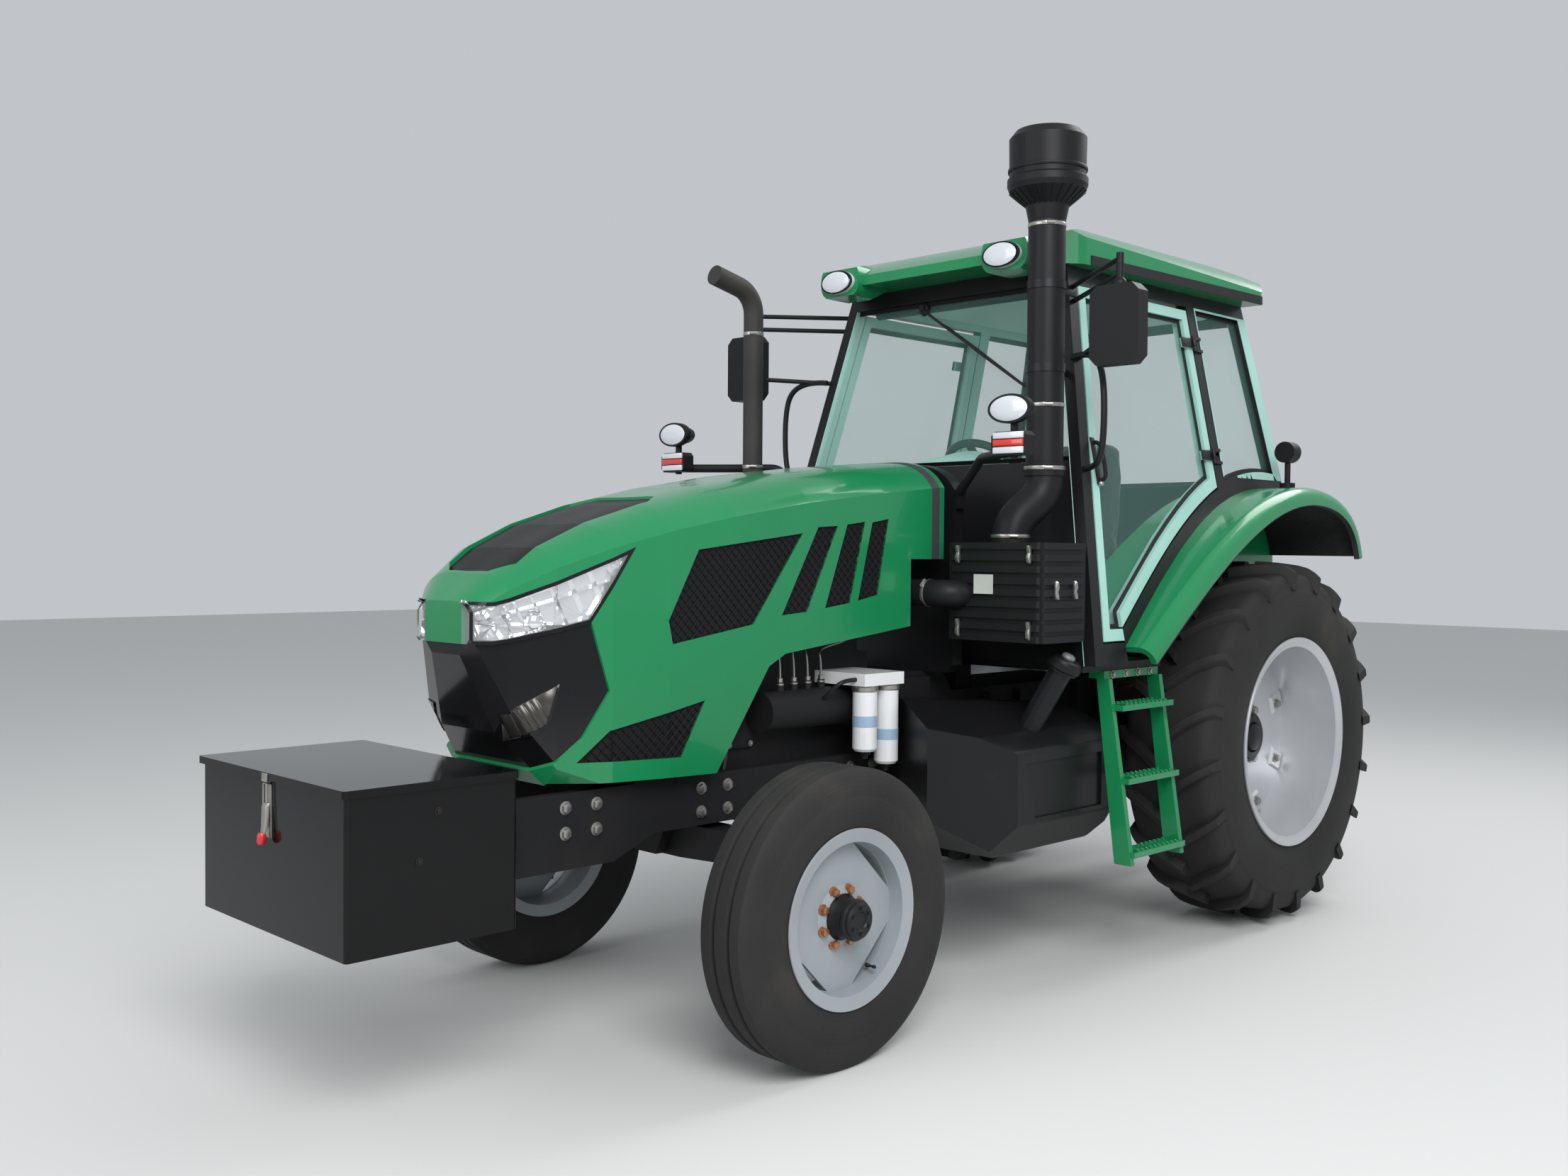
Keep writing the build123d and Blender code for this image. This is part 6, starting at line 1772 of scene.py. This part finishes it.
step_in(mat, towards(UP), 0.02, 0.002)
open_faces(mat, lambda centre, normal: normal.z > 0.9 and centre.z > MAT_TOP)
for k in range(1, 15):
    bpy.ops.mesh.bisect(plane_co=(MAT_REAR + RIB_PITCH * k, 0.0, 0.0), plane_no=AHEAD)
    bpy.ops.mesh.select_all(action="SELECT")
bpy.ops.object.mode_set(mode="OBJECT")
step_in(
    mat,
    lambda centre, normal: normal.z > 0.9
    and centre.z > MAT_TOP
    and int((centre.x - MAT_REAR) / RIB_PITCH) % 2 == 0,
    0.004,
    0.004,
)
settle(mat, rubber_black, "chassis")
wear(satin_black, "cab_floor")

# Mirrors: glass in moulded black heads on steel bars from the front pillars. The silvered pane lies
# in a thin rim on the rear of each head, held by a ball joint on the upright bar.
MIRROR_SILVER = (0.75, 0.78, 0.8)
wear(poly_black, "mirrors")
mirror_silver = surface(
    "mirror_silver", MIRROR_SILVER, 0.03, metallic=1.0, mottle=0.02, grain=4.0, relief=0.003
)
mirror_pane = new_block("mirror_pane_left", (-0.1805, 0.913, 2.345), (-0.178, 1.087, 2.6))
soften(mirror_pane, 0.001)
step_in(mirror_pane, towards(ASTERN), 0.004, -0.0008)
mirror_joint = spun(
    "mirror_joint_left",
    [
        (-0.026, 0.0), (-0.024, 0.012), (-0.014, 0.022), (0.0, 0.026), (0.014, 0.022),
        (0.024, 0.012), (0.026, 0.0),
    ],
    (-0.153, 1.0, 2.626),
    UP,
    steps=24,
    closed=False,
)
for piece, finish in ((mirror_pane, mirror_silver), (mirror_joint, poly_black)):
    settle_pair(piece, finish, "chassis")

# Lamps: oval lamps in the roof's pods and over the marker lamps beside the bonnet, and a small lamp
# on each fender. Domed white lenses sit in black shells; the markers have white and red bands.
LENS_WHITE = (0.6, 0.63, 0.66)
LENS_RED = (0.62, 0.03, 0.02)
OVAL_POINTS = 40
lens_white = surface("lens_white", LENS_WHITE, 0.12, coat=0.8, mottle=0.02, grain=120.0, relief=0.03)
lens_red = surface("lens_red", LENS_RED, 0.15, coat=0.8, mottle=0.05, grain=120.0, relief=0.03)
wear(poly_black, "work_lamps", "fender_lamps")
wear(lens_white, "roof_lamps")


def oval(x, middle, half, rise):
    """An upright oval loop of points about a middle of (across, height)."""
    turns = [tau * k / OVAL_POINTS for k in range(OVAL_POINTS)]
    return [Vector((x, middle[0] + half * cos(turn), middle[1] + rise * sin(turn))) for turn in turns]


def oval_lens(name, front, middle, half, rise):
    """A domed lens: a flat rim, a groove and a crowned middle."""
    sizes = (
        (0.0, 1.0), (0.004, 0.99), (0.006, 0.93), (0.004, 0.9), (0.008, 0.85), (0.012, 0.6), (0.0135, 0.25),
    )
    return bridged(name, [oval(front + out, middle, half * share, rise * share) for out, share in sizes])


def lamp_rim(name, front, middle, half, rise):
    """A black shell edge round an oval lens."""
    sizes = ((-0.02, 0.99), (-0.02, 1.035), (0.003, 1.04), (0.006, 1.02), (0.006, 0.985))
    return bridged(name, [oval(front + out, middle, half * share, rise * share) for out, share in sizes])


roof_lamp_low, roof_lamp_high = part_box("roof_lamps")
roof_lamp = (0.448, (roof_lamp_low.z + roof_lamp_high.z) / 2)
work_front = 0.389
work_middle = (0.905, 2.131)
marker_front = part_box("work_lamps")[1].x
roof_lens = oval_lens("roof_lens_left", roof_lamp_high.x - 0.002, roof_lamp, 0.086, 0.048)
roof_rim = lamp_rim("roof_lamp_rim_left", roof_lamp_high.x - 0.004, roof_lamp, 0.088, 0.05)
work_lens = oval_lens("work_lens_left", work_front - 0.001, work_middle, 0.086, 0.047)
work_rim = lamp_rim("work_lamp_rim_left", work_front - 0.002, work_middle, 0.09, 0.05)
lamp_pieces = [
    (roof_lens, lens_white, "lamp_glass"),
    (roof_rim, poly_black, "black_plastic"),
    (work_lens, lens_white, "lamp_glass"),
    (work_rim, poly_black, "black_plastic"),
]
for band, level, finish in (
    ("top", 2.026, lens_white),
    ("middle", 2.0, lens_red),
    ("foot", 1.974, lens_white),
):
    band_lens = new_block(
        f"marker_{band}_left",
        (marker_front - 0.004, 0.84, level),
        (marker_front + 0.006, 0.97, level + 0.0235),
    )
    step_in(band_lens, towards(AHEAD), 0.004, 0.0015)
    soften(band_lens, 0.003)
    lamp_pieces.append((band_lens, finish, "lamp_glass"))
fender_lamp_low, fender_lamp_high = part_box("fender_lamps")
fender_lens = spun(
    "fender_lens_left",
    [(0.0, 0.044), (-0.004, 0.044), (-0.006, 0.04), (-0.004, 0.037), (-0.009, 0.028), (-0.011, 0.0)],
    (fender_lamp_low.x + 0.006, fender_lamp_high.y - 0.048, fender_lamp_high.z - 0.048),
    AHEAD,
    steps=36,
    closed=False,
)
lamp_pieces.append((fender_lens, lens_white, "lamp_glass"))
for piece, finish, slot in lamp_pieces:
    settle_pair(piece, finish, "chassis")

# Fenders: pressed steel in green enamel over the rear wheels, with a tail lamp on each rear edge; their
# undersides carry a black skin that is painted shade. They are bolted to the cab's sides.
wear(enamel_green, "fenders")
# A rough, dusty black for the fenders' undersides: painted shade under the fenders.
FENDER_SHADE_BLACK = (0.013, 0.013, 0.013)
fender_shade_black = surface("fender_shade_black", FENDER_SHADE_BLACK, 0.85, mottle=0.2, grain=140.0, relief=0.3, dust=0.15)


def towards_wheel(centre, normal):
    """The faces on a left fender's underside."""
    inward = Vector((rear_hub.x - centre.x, 0.0, rear_hub.z - centre.z)).normalized()
    return centre.y > 0.5 and Vector((normal.x, 0.0, normal.z)).dot(inward) > 0.6


fender_low, fender_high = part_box("fenders")
# A black skin on the faces turned towards the wheel: painted shade.
fender_underside_shade = outer_skin("fender_guard_left", "fenders", towards_wheel)
lift_skin(fender_underside_shade, 0.001)
thicken(fender_underside_shade, 0.002, offset=1.0)
tail_y = fender_high.y - 0.22
tail_shell = new_block(
    "tail_shell_left",
    (fender_low.x - 0.03, tail_y - 0.075, 1.7),
    (fender_low.x + 0.05, tail_y + 0.075, 1.76),
)
soften(tail_shell, 0.008, 3)
tail_lens = new_block(
    "tail_lens_left",
    (fender_low.x - 0.04, tail_y - 0.068, 1.707),
    (fender_low.x - 0.028, tail_y + 0.068, 1.753),
)
step_in(tail_lens, towards(ASTERN), 0.006, 0.002)
soften(tail_lens, 0.003)
for piece, finish, slot in (
    (fender_underside_shade, fender_shade_black, "black_plastic"),
    (tail_shell, poly_black, "black_plastic"),
    (tail_lens, lens_red, "lamp_glass"),
):
    settle_pair(piece, finish, "chassis")

# Transmission, rear axle and drawbar: cast iron housings in black with bolted flanges. A folded guard
# stands over the power take-off, and capped oil couplers sit in a block above it.
wear(cast_black, "transmission", "rear_axle", "drawbar")
AXLE_BOLTS, AXLE_RING, AXLE_FLANGE = 10, 0.155, 0.3
axle_bolts = repeated(
    hex_bolt(0.012, 0.012),
    "axle_bolts",
    [
        facing(
            (rear_hub.x + AXLE_RING * sin(turn), side * AXLE_FLANGE, rear_hub.z + AXLE_RING * cos(turn)),
            (0.0, side, 0.0),
        )
        for turn in [tau * k / AXLE_BOLTS for k in range(AXLE_BOLTS)]
        for side in (1, -1)
    ],
)
settle(axle_bolts, bolt_steel, "chassis")
case_rear = -1.933
pto_guard = new_block("pto_guard", (case_rear - 0.16, -0.13, 0.79), (case_rear, 0.13, 0.796))
open_faces(pto_guard, lambda centre, normal: abs(normal.y) > 0.9)
bpy.ops.mesh.extrude_faces_move(TRANSFORM_OT_shrink_fatten={"value": 0.006})
bpy.ops.object.mode_set(mode="OBJECT")
open_faces(pto_guard, lambda centre, normal: normal.z < -0.9 and abs(centre.y) > 0.13)
bpy.ops.mesh.extrude_region_move(TRANSFORM_OT_translate={"value": (0.05, 0.0, -0.14)})
bpy.ops.object.mode_set(mode="OBJECT")
soften(pto_guard, 0.003)
settle(pto_guard, satin_black, "chassis")
coupler_block = new_block("coupler_block", (case_rear - 0.05, 0.09, 0.83), (case_rear, 0.21, 0.98))
soften(coupler_block, 0.006)
settle(coupler_block, cast_black, "chassis")
coupler = spun(
    "coupler",
    [
        (0.0, 0.018), (0.02, 0.018), (0.022, 0.023), (0.045, 0.023), (0.048, 0.019), (0.056, 0.018),
        (0.058, 0.0),
    ],
    (0.0, 0.0, 0.0),
    UP,
    steps=24,
    closed=False,
)
couplers = repeated(
    coupler,
    "couplers",
    [
        facing((case_rear - 0.05, across, level), ASTERN)
        for across in (0.12, 0.18)
        for level in (0.87, 0.94)
    ],
)
settle(couplers, grip_red, "chassis")
pin_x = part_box("drawbar")[0].x + 0.045
hitch_pin = spun(
    "drawbar_pin",
    [
        (-0.1, 0.0), (-0.1, 0.01), (-0.094, 0.0145), (0.03, 0.0145), (0.03, 0.026), (0.042, 0.026),
        (0.044, 0.0),
    ],
    (pin_x, 0.0, 0.465),
    UP,
    steps=28,
    closed=False,
)
settle(hitch_pin, pipe_steel, "chassis")
pin_loop = bent_rod(
    "drawbar_pin_handle",
    [
        (pin_x, -0.018, 0.505), (pin_x, -0.018, 0.56), (pin_x, 0.0, 0.585), (pin_x, 0.018, 0.56),
        (pin_x, 0.018, 0.505),
    ],
    0.005,
)
settle(pin_loop, pipe_steel, "chassis")

# Three-point lift: forged arms, rods and lower links, painted black. Hexagonal sleeves set the length
# of the lift rods, and steel balls sit in the ends of the lower links.
wear(cast_black, "lower_links", "lift_arms", "lift_rods")
link_low, link_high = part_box("lower_links")
rod_low, rod_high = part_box("lift_rods")
LINK_BALL_R = 0.043
link_y = link_high.y - 0.015
ball_x = link_low.x + 0.045
link_ball = spun(
    "link_ball_left",
    [
        (-0.024, 0.0148), (-0.024, 0.03), (-0.014, 0.04), (0.0, LINK_BALL_R), (0.014, 0.04),
        (0.024, 0.03), (0.024, 0.0148),
    ],
    (ball_x, link_y, 0.56),
    ACROSS,
    steps=32,
)
rod_mid = Vector(((rod_low.x + rod_high.x) / 2, rod_high.y - 0.014, (rod_low.z + rod_high.z) / 2))
rod_sleeve = spun(
    "lift_sleeve_left",
    [
        (-0.12, 0.0), (-0.12, 0.02), (-0.105, 0.02), (-0.1, 0.026), (0.1, 0.026), (0.105, 0.02),
        (0.12, 0.02), (0.12, 0.0),
    ],
    rod_mid,
    UP,
    steps=6,
    closed=False,
)
for piece, finish, body in ((link_ball, pipe_steel, "lower_links"), (rod_sleeve, cast_black, "lift_rods")):
    settle_pair(piece, finish, body)
